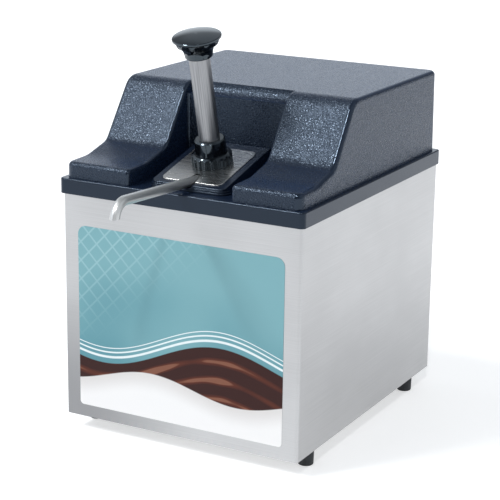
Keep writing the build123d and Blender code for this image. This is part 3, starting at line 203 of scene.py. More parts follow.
# a faint lattice like a waffle's, in the upper left, fading downwards
lattice_slope, lattice_rate = 1.25, 62.0
upper_left = node(tree, "Math", {"operation": "MULTIPLY_ADD"}, {0: u, 1: -0.9, 2: v})
lattice_fade = node(tree, "MapRange", eased, {0: upper_left, 1: 0.72, 2: 1.25, 3: 0, 4: 0.32})
ridges = []
for slope in (lattice_slope, -lattice_slope):
    slant = node(tree, "Math", {"operation": "MULTIPLY_ADD"}, {0: u, 1: slope, 2: v})
    phase = node(tree, "Math", {"operation": "MULTIPLY"}, {0: slant, 1: lattice_rate})
    ridge = node(tree, "Math", {"operation": "COSINE"}, {0: phase})
    ridges.append(node(tree, "MapRange", eased, {0: ridge, 1: 0.86, 2: 0.97, 3: 0, 4: 1}))
lattice = node(tree, "Math", {"operation": "MAXIMUM"}, {0: ridges[0], 1: ridges[1]})
lattice = node(tree, "Math", {"operation": "MULTIPLY"}, {0: lattice, 1: lattice_fade})
ground = node(tree, "Mix", two_tone, {0: lattice, 6: ground, 7: linear("#b9dade")}, 2)

# thin white lines that follow the wave, each further one finer
wave_height = 0.37
wave_form = {"swell": 0.085, "waves": 0.92, "start": 0.5, "tilt": 0.06}
for rise, half in ((0.035, 0.0065), (0.062, 0.0042), (0.085, 0.0026)):
    gap = above_wave(wave_height + rise, **wave_form)
    gap = node(tree, "Math", {"operation": "ABSOLUTE"}, {0: gap})
    inked = node(tree, "MapRange", eased, {0: gap, 1: half * 0.7, 2: half * 1.3, 3: 0.9, 4: 0})
    ground = node(tree, "Mix", two_tone, {0: inked, 6: ground, 7: linear("#eef4f4")}, 2)

# the chocolate wave, with glossy folds drawn along it
over = above_wave(wave_height, **wave_form)
fold_rate = 62.0
folds = node(tree, "Math", {"operation": "MULTIPLY"}, {0: over, 1: fold_rate})
folds = node(tree, "Math", {"operation": "SINE"}, {0: folds})
sway = node(tree, "TexNoise", {}, {"Vector": cloud_space, "Scale": 2.2, "Detail": 1.0})
fold_tone = node(tree, "Math", {"operation": "MULTIPLY_ADD"}, {0: sway, 1: 2.4, 2: folds})
lit = node(tree, "MapRange", eased, {0: fold_tone, 1: 1.2, 2: 2.3, 3: 0, 4: 1})
chocolate = node(tree, "Mix", two_tone, {0: lit, 6: linear("#321310"), 7: linear("#5a2a1c")}, 2)
shine = node(tree, "MapRange", eased, {0: fold_tone, 1: 2.02, 2: 2.2, 3: 0, 4: 0.5})
chocolate = node(tree, "Mix", two_tone, {0: shine, 6: chocolate, 7: linear("#9a6a55")}, 2)
ink_edge = 0.003
under = node(tree, "MapRange", eased, {0: over, 1: -ink_edge, 2: ink_edge, 3: 1, 4: 0})
printed = node(tree, "Mix", two_tone, {0: under, 6: ground, 7: chocolate}, 2)

# the white wave below, with a pale grey shade under its crest
over = above_wave(0.205, 0.05, 1.15, 2.6, 0.02)
shaded = node(tree, "MapRange", eased, {0: over, 1: -0.12, 2: 0.0, 3: 0, 4: 1})
cream = node(tree, "Mix", two_tone, {0: shaded, 6: linear("#f1efee"), 7: linear("#dcd8d6")}, 2)
under = node(tree, "MapRange", eased, {0: over, 1: -ink_edge, 2: ink_edge, 3: 1, 4: 0})
printed = node(tree, "Mix", two_tone, {0: under, 6: printed, 7: cream}, 2)
surface(tree, {"Base Color": printed, "Roughness": 0.34, "Specular IOR Level": 0.22})
dress(["front_label"], printed_vinyl)

# ---------------------------------------------------------------- feet
# Four turned rubber feet under the cabinet's corners, each held by one screw from below.
# Dull dark grey with a fine moulded skin.
foot_rubber, tree = new_finish("moulded rubber")
# the skin's pits are 0.2 mm across; drawn at 0.8 mm
skin = node(
    tree, "TexNoise", {}, {"Vector": across(tree, 0.8, 0.8, 0.8), "Scale": 1.0, "Detail": 3.0}
)
rubber = node(tree, "Mix", two_tone, {0: skin, 6: linear("#26282b"), 7: linear("#34373a")}, 2)
surface(
    tree,
    {
        "Base Color": rubber,
        "Roughness": 0.62,
        "Normal": node(tree, "Bump", {}, {"Strength": 0.5, "Distance": 0.00006, "Height": skin}),
    },
)
feet = ["foot_front_left", "foot_front_right", "foot_rear_left", "foot_rear_right"]
dress(feet + ["gland_seal"], foot_rubber)

# ---------------------------------------------------------------- screws and nuts
# Zinc-plated steel screws and nuts. The rear panel's pan heads have a cross recess, pressed
# when the head was forged; the plating is bluish and slightly uneven.
zinc_plated, tree = new_finish("zinc-plated steel")
plating = node(
    tree, "TexNoise", {}, {"Vector": across(tree, 2.5, 2.5, 2.5), "Scale": 1.0, "Detail": 2.0}
)
plated = node(tree, "Mix", two_tone, {0: plating, 6: linear("#a9adb2"), 7: linear("#c3c4c1")}, 2)
surface(
    tree,
    {
        "Base Color": plated,
        "Metallic": 1.0,
        "Roughness": node(tree, "MapRange", eased, {0: plating, 1: 0.3, 2: 0.7, 3: 0.24, 4: 0.36}),
    },
)
dress(["foot_screws", "foot_nuts", "deck_screws", "terminal_screws", "plate_nuts"], zinc_plated)

screw_low, screw_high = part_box("rear_screws")
head_radius = 0.0038
head_height = 0.0024
rim_height = 0.0009  # the head's straight edge, below its dome
crown_radius = 0.00005  # where the dome stops, just short of its middle
dome_steps = 9
shank_radius = 0.002
shank_end = -0.0078  # along the screw, from the panel's face
point_length = 0.001
point_radius = shank_radius * 0.6
thread_start, thread_end = -0.0066, -0.0001
thread_pitch = 0.0007
thread_turns = 9
thread_root = shank_radius * 0.84
recess_half = 0.0019
recess_width = 0.00042
recess_depth = 0.0015
tool_above = 0.0004  # how far the recess's tool stands out of the head
panel_face_y = screw_high.y - head_height
screw_xs = (screw_low.x + head_radius, screw_high.x - head_radius)
screw_zs = (
    screw_low.z + head_radius,
    (screw_low.z + screw_high.z) / 2,
    screw_high.z - head_radius,
)


def mesh_piece(name, vertices, faces, material, smooth=True):
    """A new mesh object in the scene."""
    mesh = bpy.data.meshes.new(name)
    mesh.from_pydata([tuple(p) for p in vertices], [], faces)
    mesh.materials.append(material)
    mesh.polygons.foreach_set("use_smooth", [smooth] * len(mesh.polygons))
    mesh.update()
    piece = bpy.data.objects.new(name, mesh)
    bpy.context.scene.collection.objects.link(piece)
    return piece


def turned(profile, put, segments=48):
    """Vertices and faces of a profile of (radius, height) spun about an axis; put places it."""
    vertices, faces = [], []
    for radius, height in profile:
        for i in range(segments):
            angle = 2 * math.pi * i / segments
            vertices.append(put(radius * math.cos(angle), radius * math.sin(angle), height))
    for row in range(len(profile) - 1):
        for i in range(segments):
            j = (i + 1) % segments
            a, b = row * segments, (row + 1) * segments
            faces.append((a + i, a + j, b + j, b + i))
    faces.append(tuple(range(segments))[::-1])
    faces.append(tuple(range((len(profile) - 1) * segments, len(profile) * segments)))
    return vertices, faces


# from the point up the threads to the panel, then round the head to its crown
screw_profile = [(point_radius, shank_end), (shank_radius, shank_end + point_length)]
for k in range(thread_turns):
    thread_s = thread_start + thread_pitch * k
    screw_profile += [(shank_radius, thread_s), (thread_root, thread_s + thread_pitch / 2)]
screw_profile += [(shank_radius, thread_end), (shank_radius, 0), (head_radius, 0)]
for k in range(dome_steps):
    angle = k * math.pi / 2 / dome_steps
    dome_rise = (head_height - rim_height) * math.sin(angle)
    screw_profile.append((head_radius * math.cos(angle), rim_height + dome_rise))
screw_profile.append((crown_radius, head_height))

# the recess tool is two crossed bars that narrow towards the recess's floor
bars = []
for bar_x, bar_z in ((recess_half, recess_width), (recess_width, recess_half)):
    bars.append([(bar_x, bar_z), (-bar_x, bar_z), (-bar_x, -bar_z), (bar_x, -bar_z)])
bar_levels = ((head_height - recess_depth, 0.45), (head_height + tool_above, 1.1))
bar_faces = [(3, 2, 1, 0), (4, 5, 6, 7)]
bar_faces += [(i, (i + 1) % 4, 4 + (i + 1) % 4, 4 + i) for i in range(4)]
screw_vertices, screw_faces, tool_vertices, tool_faces = [], [], [], []
for x in screw_xs:
    for z in screw_zs:
        spun, faces = turned(screw_profile, lambda a, b, h: (x + a, panel_face_y + h, z - b))
        screw_faces += [tuple(i + len(screw_vertices) for i in face) for face in faces]
        screw_vertices += spun
        for bar in bars:
            first = len(tool_vertices)
            for height, share in bar_levels:
                y = panel_face_y + height
                tool_vertices += [(x + a * share, y, z + b * share) for a, b in bar]
            tool_faces += [tuple(first + i for i in face) for face in bar_faces]
rear_screws = mesh_piece("rear_screws_crossed", screw_vertices, screw_faces, zinc_plated)
recess_tool = mesh_piece("recess_tool", tool_vertices, tool_faces, zinc_plated, False)


def outward(piece):
    """Turns every face of a closed mesh to the outside."""
    work = bmesh.new()
    work.from_mesh(piece.data)
    bmesh.ops.recalc_face_normals(work, faces=work.faces)
    work.to_mesh(piece.data)
    work.free()


def settled(piece):
    """Replaces a piece's mesh by the result of its modifiers."""
    bpy.context.view_layer.update()
    evaluated = piece.evaluated_get(bpy.context.evaluated_depsgraph_get())
    shaped = bpy.data.meshes.new_from_object(evaluated)
    piece.modifiers.clear()
    piece.data = shaped


outward(rear_screws)
outward(recess_tool)
recess = rear_screws.modifiers.new("recess", "BOOLEAN")
recess.operation = "DIFFERENCE"
recess.object = recess_tool
recess.solver = "EXACT"
recess.use_self = True
settled(rear_screws)
bpy.data.objects.remove(recess_tool)
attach(rear_screws, "cabinet")
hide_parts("rear_screws")

# ---------------------------------------------------------------- heated well
# A deep pressed pan of plain stainless, hung by its rim. Its finish is duller than the
# cabinet's, with faint drawing marks down the walls.
pressed_steel, tree = new_finish("pressed stainless pan")
drawing = node(
    tree, "TexNoise", {}, {"Vector": across(tree, 1.5, 1.5, 60), "Scale": 1.0, "Detail": 3.0}
)
pressed = node(tree, "Mix", two_tone, {0: drawing, 6: linear("#b2b4b7"), 7: linear("#c8cacb")}, 2)
surface(
    tree,
    {
        "Base Color": pressed,
        "Metallic": 1.0,
        "Roughness": node(tree, "MapRange", eased, {0: drawing, 1: 0.3, 2: 0.7, 3: 0.3, 4: 0.44}),
    },
)
dress(["heated_well"], pressed_steel)

# ---------------------------------------------------------------- insulation
# A band of glass-fibre batt wrapped round the well's walls. Pale, soft and uneven, with
# loose fibres on its faces; only wired down, so its outer face is lumpy.
glass_fibre, tree = new_finish("glass-fibre batt")
fibres = node(
    tree,
    "TexNoise",
    {},
    {"Vector": across(tree, 4, 4, 0.7), "Scale": 1.0, "Detail": 6.0, "Roughness": 0.7},
)
tufts = node(tree, "TexNoise", {}, {"Vector": across(tree, 9, 9, 9), "Scale": 1.0, "Detail": 3.0})
loose = node(tree, "MapRange", eased, {0: fibres, 1: 0.35, 2: 0.65, 3: 0, 4: 1})
wool = node(tree, "Mix", two_tone, {0: loose, 6: linear("#cfc7ae"), 7: linear("#f0ebdb")}, 2)
surface(
    tree,
    {
        "Base Color": wool,
        "Roughness": 0.95,
        "Sheen Weight": 0.4,
        "Normal": node(tree, "Bump", {}, {"Strength": 0.9, "Distance": 0.0008, "Height": tufts}),
    },
)

batt_low, batt_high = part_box("well_insulation")
batt_thickness = 0.0085
batt_corner = 0.006
batt_rounding = 0.0025  # of its upper and lower edges
edge_fall = 0.6  # how much of that rounding an edge's corners drop
wall_clearance = 0.0002
corner_steps, face_steps, edge_steps = 10, 12, 5
side_step = 0.008
lump_size = 0.0011
lump_rate = 55  # lumps are about 1/55 m apart
lump_rest = 0.9  # keeps the lumps inside the batt's box
batt_x, batt_y = (batt_high.x - batt_low.x) / 2, (batt_high.y - batt_low.y) / 2
batt_centre_y = (batt_high.y + batt_low.y) / 2
batt_centre_z = (batt_low.z + batt_high.z) / 2
batt_height = batt_high.z - batt_low.z

# the way round the well: a quarter turn at each corner, and steps along each side
corners = []
for quarter, (sx, sy) in enumerate(((1, 1), (-1, 1), (-1, -1), (1, -1))):
    for k in range(corner_steps + 1):
        angle = math.pi / 2 * (quarter + k / corner_steps)
        middle = Vector((sx * (batt_x - batt_corner), sy * (batt_y - batt_corner)))
        corners.append((middle, Vector((math.cos(angle), math.sin(angle)))))
around = []
for i, (middle, out) in enumerate(corners):
    around.append((middle, out))
    following = corners[(i + 1) % len(corners)][0]
    side_steps = int((following - middle).length / side_step)
    around += [(middle.lerp(following, k / side_steps), out) for k in range(1, side_steps)]

# the batt's section: up its outer face, over its top, down its inner face and back below
half_face = batt_height / 2 - batt_rounding
outer_face, top_edge, inner_face, bottom_edge = [], [], [], []
for k in range(face_steps + 1):
    lift = 2 * half_face * k / face_steps
    outer_face.append((batt_corner, -half_face + lift))
    inner_face.append((batt_corner - batt_thickness + wall_clearance, half_face - lift))
for k in range(1, edge_steps):
    drop = batt_rounding * (1 - math.sin(math.pi * k / edge_steps)) * edge_fall
    share = k / edge_steps
    top_edge.append((batt_corner - batt_thickness * share, batt_height / 2 - drop))
    bottom_edge.append((batt_corner - batt_thickness * (1 - share), -batt_height / 2 + drop))
section = outer_face + top_edge + inner_face + bottom_edge

batt_vertices, batt_faces = [], []
for middle, out in around:
    for reach, rise in section:
        spot = Vector((middle.x + out.x * reach, middle.y + out.y * reach, rise))
        lump = lump_size * (noise.noise(spot * lump_rate) - lump_rest) if reach > 0 else 0.0
        x, y = spot.x + out.x * lump, batt_centre_y + spot.y + out.y * lump
        batt_vertices.append((x, y, batt_centre_z + rise))
row = len(section)
for i in range(len(around)):
    j = (i + 1) % len(around)
    for k in range(row):
        m = (k + 1) % row
        batt_faces.append((i * row + k, j * row + k, j * row + m, i * row + m))
batt = mesh_piece("insulation_batt", batt_vertices, batt_faces, glass_fibre)
outward(batt)
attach(batt, "cabinet")
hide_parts("well_insulation")

# ---------------------------------------------------------------- heater
# A silicone-rubber heating mat under the well's sloped floor, pressed to it by a pierced
# aluminium plate. The mat shows the weave of the glass cloth moulded into it.
silicone_mat, tree = new_finish("glass-reinforced silicone mat")
# the cloth's threads are 0.9 mm apart; drawn at 1.9 mm, as a wave repeats 3.2 times a unit
threads = []
for way in ("X", "Y"):
    spaced = {"Vector": across(tree, 6, 6, 6), "Scale": 1.0}
    threads.append(node(tree, "TexWave", {"bands_direction": way}, spaced))
weave = node(tree, "Math", {"operation": "MULTIPLY"}, {0: threads[0], 1: threads[1]})
mat = node(tree, "Mix", two_tone, {0: weave, 6: linear("#a8401f"), 7: linear("#c75a34")}, 2)
surface(
    tree,
    {
        "Base Color": mat,
        "Roughness": 0.6,
        "Normal": node(tree, "Bump", {}, {"Strength": 0.4, "Distance": 0.0001, "Height": weave}),
    },
)
dress(["heater_blanket"], silicone_mat)

# rolled aluminium is pale and half dull; its rolling lines are 0.2 mm wide, drawn 1 mm wide
mill_aluminium, tree = new_finish("mill-finish aluminium")
rolling = node(
    tree, "TexNoise", {}, {"Vector": across(tree, 1.0, 50, 50), "Scale": 1.0, "Detail": 3.0}
)
rolled = node(tree, "Mix", two_tone, {0: rolling, 6: linear("#c5c7c9"), 7: linear("#dcdddd")}, 2)
surface(
    tree,
    {
        "Base Color": rolled,
        "Metallic": 1.0,
        "Roughness": node(tree, "MapRange", eased, {0: rolling, 1: 0.3, 2: 0.7, 3: 0.3, 4: 0.42}),
    },
)
dress(["heater_plate"], mill_aluminium)

# ---------------------------------------------------------------- thermostat and cut-out
# Snap-disc switches in a moulded phenolic body, held against the well's floor. Brown-black,
# with the faint flow marks of the filler.
phenolic, tree = new_finish("moulded phenolic")
filler = node(
    tree, "TexNoise", {}, {"Vector": across(tree, 1.2, 1.2, 1.2), "Scale": 1.0, "Detail": 4.0}
)
filled = node(tree, "Mix", two_tone, {0: filler, 6: linear("#241a15"), 7: linear("#3a2c23")}, 2)
surface(
    tree,
    {
        "Base Color": filled,
        "Roughness": node(tree, "MapRange", eased, {0: filler, 1: 0.3, 2: 0.7, 3: 0.35, 4: 0.5}),
    },
)
dress(["thermostat", "thermal_cutout"], phenolic)

# ---------------------------------------------------------------- terminals and leads
# A nylon terminal block on the base, and glass-braided leads from it to the heater, the
# thermostats and the switch. The braid is a tight slanting weave: off-white, red or black.
# natural nylon is milky, as a little light goes into it
moulded_nylon, tree = new_finish("natural nylon")
haze = node(tree, "TexNoise", {}, {"Vector": across(tree, 5, 5, 5), "Scale": 1.0, "Detail": 2.0})
milky = node(tree, "Mix", two_tone, {0: haze, 6: linear("#ddd6c2"), 7: linear("#ebe6d7")}, 2)
surface(
    tree,
    {
        "Base Color": milky,
        "Roughness": 0.45,
        "Subsurface Weight": 0.1,
        "Subsurface Radius": (0.002, 0.002, 0.0015),
    },
)
dress(["terminal_block"], moulded_nylon)

lead_colours = {
    "heater_leads": ("#d9d2c0", "#f0ebdf"),
    "thermostat_leads": ("#9d2f26", "#c04a3c"),
    "supply_leads": ("#232527", "#3b3e41"),
}
# the braid's threads are 0.6 mm apart; drawn at 1.9 mm
for lead_name, (valley, peak) in lead_colours.items():
    braid, tree = new_finish("glass braid, " + lead_name.split("_")[0])
    threads = []
    for way in (1, -1):
        spaced = {"Vector": across(tree, way * 3, 3, 3), "Scale": 1.0}
        threads.append(node(tree, "TexWave", {"bands_direction": "DIAGONAL"}, spaced))
    plait = node(tree, "Math", {"operation": "MAXIMUM"}, {0: threads[0], 1: threads[1]})
    braided = node(tree, "Mix", two_tone, {0: plait, 6: linear(valley), 7: linear(peak)}, 2)
    bumps = {"Strength": 0.6, "Distance": 0.0001, "Height": plait}
    surface(
        tree,
        {"Base Color": braided, "Roughness": 0.75, "Normal": node(tree, "Bump", {}, bumps)},
    )
    dress([lead_name], braid)

# ---------------------------------------------------------------- cord gland
# A black nylon gland screwed through the rear panel: hexagon body, ribbed cap, rubber seal.
# Moulded and slightly rough from its tool.
black_nylon, tree = new_finish("black nylon")
# the tool's pits are 0.1 mm across; drawn at 0.5 mm
pits = node(
    tree, "TexNoise", {}, {"Vector": across(tree, 0.5, 0.5, 0.5), "Scale": 1.0, "Detail": 3.0}
)
pitted = node(tree, "Mix", two_tone, {0: pits, 6: linear("#131416"), 7: linear("#1d1f22")}, 2)
surface(
    tree,
    {
        "Base Color": pitted,
        "Roughness": node(tree, "MapRange", eased, {0: pits, 1: 0.3, 2: 0.7, 3: 0.42, 4: 0.56}),
        "Normal": node(tree, "Bump", {}, {"Strength": 0.3, "Distance": 0.00004, "Height": pits}),
    },
)
dress(["gland_body", "gland_cap", "gland_locknut", "switch_housing"], black_nylon)

# ---------------------------------------------------------------- power switch
# A snap-in rocker switch. The rocker is glossy black nylon with the usual line and circle
# printed in white on its two ends.
rocker_low, rocker_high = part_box("switch_rocker")
rocker_middle = (rocker_low + rocker_high) / 2
mark_rise = 0.0058
circle_radius = 0.0018
# how far from its middle a mark is solid, and where the bare nylon starts
line_sides = {"X": (0.00035, 0.0005), "Z": (0.0019, 0.0021)}
circle_line = (0.0003, 0.00042)

switch_gloss, tree = new_finish("glossy nylon rocker")
own = node(tree, "TexCoord", out="Object")
from_mark = []
for rise in (mark_rise, -mark_rise):
    mark = (rocker_middle.x, 0, rocker_middle.z + rise)
    from_mark.append(node(tree, "VectorMath", {"operation": "SUBTRACT"}, {0: own, 1: mark}))
inside = []
for axis, (solid, bare) in line_sides.items():
    off_line = node(tree, "SeparateXYZ", {}, {0: from_mark[0]}, axis)
    off_line = node(tree, "Math", {"operation": "ABSOLUTE"}, {0: off_line})
    inside.append(node(tree, "MapRange", eased, {0: off_line, 1: solid, 2: bare, 3: 1, 4: 0}))
line_mark = node(tree, "Math", {"operation": "MULTIPLY"}, {0: inside[0], 1: inside[1]})
flat = node(tree, "VectorMath", {"operation": "MULTIPLY"}, {0: from_mark[1], 1: (1, 0, 1)})
off_ring = node(tree, "VectorMath", {"operation": "LENGTH"}, {0: flat}, "Value")
off_ring = node(tree, "Math", {"operation": "SUBTRACT"}, {0: off_ring, 1: circle_radius})
off_ring = node(tree, "Math", {"operation": "ABSOLUTE"}, {0: off_ring})
solid, bare = circle_line
ring_mark = node(tree, "MapRange", eased, {0: off_ring, 1: solid, 2: bare, 3: 1, 4: 0})
ink = node(tree, "Math", {"operation": "MAXIMUM"}, {0: line_mark, 1: ring_mark})
marked = node(tree, "Mix", two_tone, {0: ink, 6: linear("#0e0f11"), 7: linear("#e8e8e6")}, 2)
surface(tree, {"Base Color": marked, "Roughness": 0.22})
dress(["switch_rocker"], switch_gloss)

# ---------------------------------------------------------------- deck
# An injection-moulded ABS frame that caps the cabinet, and the pump's surround. Smooth satin
# from a fine-blasted tool, dark slate blue, paler where light grazes it.
satin_abs, tree = new_finish("satin ABS")
# the blasted pits are 0.1 mm across; drawn at 0.6 mm
blast = node(
    tree, "TexNoise", {}, {"Vector": across(tree, 0.6, 0.6, 0.6), "Scale": 1.0, "Detail": 2.0}
)
flow = node(
    tree, "TexNoise", {}, {"Vector": across(tree, 60, 60, 20), "Scale": 1.0, "Detail": 2.0}
)
slate = node(tree, "Mix", two_tone, {0: flow, 6: linear("#0e121a"), 7: linear("#131822")}, 2)
# a moulded edge is never quite sharp: 0.7 mm of softness catches the light along the steps
soft_edge = node(tree, "Bevel", {"samples": 6}, {"Radius": 0.0007})
blasted = node(
    tree, "Bump", {}, {"Strength": 0.2, "Distance": 0.00002, "Height": blast, "Normal": soft_edge}
)
surface(
    tree,
    {
        "Base Color": slate,
        "Roughness": node(tree, "MapRange", eased, {0: flow, 1: 0.3, 2: 0.7, 3: 0.2, 4: 0.26}),
        "Specular IOR Level": 0.45,
        "Specular Tint": (0.6, 0.77, 1.0, 1.0),
        "Sheen Weight": 0.06,
        "Sheen Roughness": 0.5,
        "Sheen Tint": (0.1, 0.35, 1.0, 1.0),
        "Normal": blasted,
    },
)
dress(["top_deck", "pump_surround"], satin_abs)

# ---------------------------------------------------------------- hood
# A moulded ABS cover that drops over the deck's lips. Its tool was etched with a leather
# grain, so the slopes sparkle and the edges shine where the grain is rubbed flat.
grained_abs, tree = new_finish("leather-grained ABS")
# the etched pebbles are 1.3 mm across; drawn at 2.3 mm so that they show
warp = node(
    tree, "TexNoise", {}, {"Vector": across(tree, 3, 3, 3), "Scale": 1.0, "Detail": 2.0}, "Color"
)
bent = node(
    tree,
    "VectorMath",
    {"operation": "MULTIPLY_ADD"},
    {0: warp, 1: (0.9, 0.9, 0.9), 2: across(tree, 2.3, 2.3, 2.3)},
)
pebbles = node(
    tree, "TexVoronoi", {"feature": "DISTANCE_TO_EDGE"}, {"Vector": bent, "Scale": 1.0}
)
crowns = node(tree, "MapRange", eased, {0: pebbles, 1: 0.0, 2: 0.3, 3: 0, 4: 1})
tint = node(
    tree, "TexNoise", {}, {"Vector": across(tree, 45, 45, 45), "Scale": 1.0, "Detail": 2.0}
)
midnight = node(tree, "Mix", two_tone, {0: tint, 6: linear("#0c111b"), 7: linear("#111724")}, 2)
# the grain is rubbed flat on the rounded edges, which face neither the front nor the side
outside = node(tree, "NewGeometry", out="Normal")
sideways = node(tree, "SeparateXYZ", {}, {0: outside}, "X")
sideways = node(tree, "Math", {"operation": "ABSOLUTE"}, {0: sideways})
off_front = node(tree, "MapRange", eased, {0: sideways, 1: 0.12, 2: 0.35, 3: 0, 4: 1})
off_side = node(tree, "MapRange", eased, {0: sideways, 1: 0.8, 2: 0.93, 3: 1, 4: 0})
rubbed = node(tree, "Math", {"operation": "MULTIPLY"}, {0: off_front, 1: off_side})
kept_grain = node(tree, "Math", {"operation": "MULTIPLY_ADD"}, {0: rubbed, 1: -0.9, 2: 0.9})
etched = node(tree, "MapRange", eased, {0: crowns, 1: 0, 2: 1, 3: 0.32, 4: 0.22})
polish = node(tree, "Math", {"operation": "MULTIPLY_ADD"}, {0: rubbed, 1: -0.12, 2: etched})
grained = node(
    tree, "Bump", {}, {"Strength": kept_grain, "Distance": 0.00021, "Height": crowns}
)
surface(
    tree,
    {
        "Base Color": midnight,
        "Roughness": polish,
        "Specular IOR Level": 0.6,
        "Specular Tint": (0.6, 0.77, 1.0, 1.0),
        "Sheen Weight": 0.1,
        "Sheen Roughness": 0.5,
        "Sheen Tint": (0.1, 0.35, 1.0, 1.0),
        "Normal": grained,
    },
)
dress(["hood"], grained_abs)

# ---------------------------------------------------------------- pump plate
# A stainless plate on the surround, brushed and then lightly polished, so that it mirrors
# the collar above it with soft edges.
polished_plate, tree = new_finish("fine-brushed stainless plate")
# its brush lines are 0.1 mm wide; drawn 0.6 mm wide
fine = node(
    tree, "TexNoise", {}, {"Vector": across(tree, 30, 0.6, 30), "Scale": 1.0, "Detail": 3.0}
)
plate = node(tree, "Mix", two_tone, {0: fine, 6: linear("#cbc9c6"), 7: linear("#d8d6d3")}, 2)
surface(
    tree,
    {
        "Base Color": plate,
        "Metallic": 1.0,
        "Roughness": node(tree, "MapRange", eased, {0: fine, 1: 0.3, 2: 0.7, 3: 0.2, 4: 0.31}),
    },
)
dress(["pump_plate"], polished_plate)

# ---------------------------------------------------------------- barrel and valves
# The barrel is drawn stainless tube. The valve block, spring seat, inlet nipple, piston and
# plug are machined acetal, waxy white; the rings are red food-grade silicone.
pump_lean = math.radians(14)
drawn_tube, tree = new_finish("drawn stainless tube")
# draw lines are 0.1 mm wide; drawn 0.9 mm wide, along the leaning tube
draw_space = across(tree, 0.9, 0.9, 70, -pump_lean)
draw_lines = node(tree, "TexNoise", {}, {"Vector": draw_space, "Scale": 1.0, "Detail": 3.0})
drawn = node(tree, "MapRange", eased, {0: draw_lines, 1: 0.3, 2: 0.7, 3: 0, 4: 1})
tube = node(tree, "Mix", two_tone, {0: drawn, 6: linear("#7e7f82"), 7: linear("#a3a4a7")}, 2)
tube_lines = {"Strength": 0.2, "Distance": 0.00002, "Height": draw_lines}
surface(
    tree,
    {
        "Base Color": tube,
        "Metallic": 1.0,
        "Roughness": node(
            tree, "MapRange", eased, {0: draw_lines, 1: 0.3, 2: 0.7, 3: 0.32, 4: 0.42}
        ),
        "Normal": node(tree, "Bump", {}, tube_lines),
    },
)
dress(["pump_cylinder", "plunger_tube"], drawn_tube)

# acetal lets a little light in; the lathe's rings are 0.1 mm apart, drawn at 0.5 mm
acetal, tree = new_finish("machined acetal")
lathe_space = across(tree, 30, 30, 0.5, -pump_lean)
rings = node(tree, "TexNoise", {}, {"Vector": lathe_space, "Scale": 1.0, "Detail": 2.0})
waxy = node(tree, "Mix", two_tone, {0: rings, 6: linear("#e4e3de"), 7: linear("#f0efeb")}, 2)
surface(
    tree,
    {
        "Base Color": waxy,
        "Roughness": node(tree, "MapRange", eased, {0: rings, 1: 0.3, 2: 0.7, 3: 0.3, 4: 0.42}),
        "Subsurface Weight": 0.12,
        "Subsurface Radius": (0.002, 0.002, 0.002),
    },
)
dress(["valve_block", "spring_seat", "inlet_fitting", "piston", "tube_plug"], acetal)

# silicone is half dull, and cured a little unevenly
ring_silicone, tree = new_finish("red silicone")
cure = node(
    tree, "TexNoise", {}, {"Vector": across(tree, 1.5, 1.5, 1.5), "Scale": 1.0, "Detail": 2.0}
)
red = node(tree, "Mix", two_tone, {0: cure, 6: linear("#a5472f"), 7: linear("#b8583d")}, 2)
surface(tree, {"Base Color": red, "Roughness": 0.5})
dress(["cylinder_o_ring", "guide_seal", "inlet_o_ring", "piston_seal"], ring_silicone)

# the balls are ground to a near mirror; their marks are 0.05 mm wide, drawn at 0.6 mm
ball_steel, tree = new_finish("ground ball steel")
grind = node(
    tree, "TexNoise", {}, {"Vector": across(tree, 0.6, 0.6, 0.6), "Scale": 1.0, "Detail": 3.0}
)
surface(
    tree,
    {
        "Base Color": linear("#cfd0d1"),
        "Metallic": 1.0,
        "Roughness": node(tree, "MapRange", eased, {0: grind, 1: 0.3, 2: 0.7, 3: 0.05, 4: 0.09}),
    },
)
dress(["inlet_ball", "outlet_ball"], ball_steel)

# ---------------------------------------------------------------- spout
# A slim stainless tube from the valve block, out over the plate's front edge and down at its
# tip. Bright-drawn, then wiped along its length to a satin that mirrors nothing sharply.
spout_steel, tree = new_finish("bright-drawn stainless spout")
wipe = node(
    tree, "TexNoise", {}, {"Vector": across(tree, 3, 60, 60), "Scale": 1.0, "Detail": 2.0}
)
satin = node(tree, "MapRange", eased, {0: wipe, 1: 0.3, 2: 0.7, 3: 0, 4: 1})
wiped = node(tree, "Mix", two_tone, {0: satin, 6: linear("#cdcdcc"), 7: linear("#dededc")}, 2)
surface(
    tree,
    {
        "Base Color": wiped,
        "Metallic": 1.0,
        "Roughness": node(tree, "MapRange", eased, {0: wipe, 1: 0.3, 2: 0.7, 3: 0.36, 4: 0.44}),
    },
)
dress(["spout_tube"], spout_steel)

# ---------------------------------------------------------------- guide, collar and knob
# Compression-moulded black plastic, glossy from a polished tool: the guide bush, the fluted
# lock collar and the mushroom knob. Handling leaves a faint haze on the gloss.
gloss_black, tree = new_finish("gloss black phenolic")
smear = node(tree, "TexNoise", {}, {"Vector": across(tree, 9, 9, 9), "Scale": 1.0, "Detail": 4.0})
jet = node(tree, "Mix", two_tone, {0: smear, 6: linear("#07080a"), 7: linear("#0c0e12")}, 2)
# half a millimetre of softness on each edge, which catches the light along flutes and rim
polished_edge = node(tree, "Bevel", {"samples": 6}, {"Radius": 0.0005})
surface(
    tree,
    {
        "Base Color": jet,
        "Roughness": node(tree, "MapRange", eased, {0: smear, 1: 0.35, 2: 0.65, 3: 0.05, 4: 0.09}),
        "Specular IOR Level": 0.9,
        "Specular Tint": (0.7, 0.86, 1.0, 1.0),
        "Normal": polished_edge,
    },
)
dress(["plunger_guide", "lock_collar", "plunger_knob"], gloss_black)
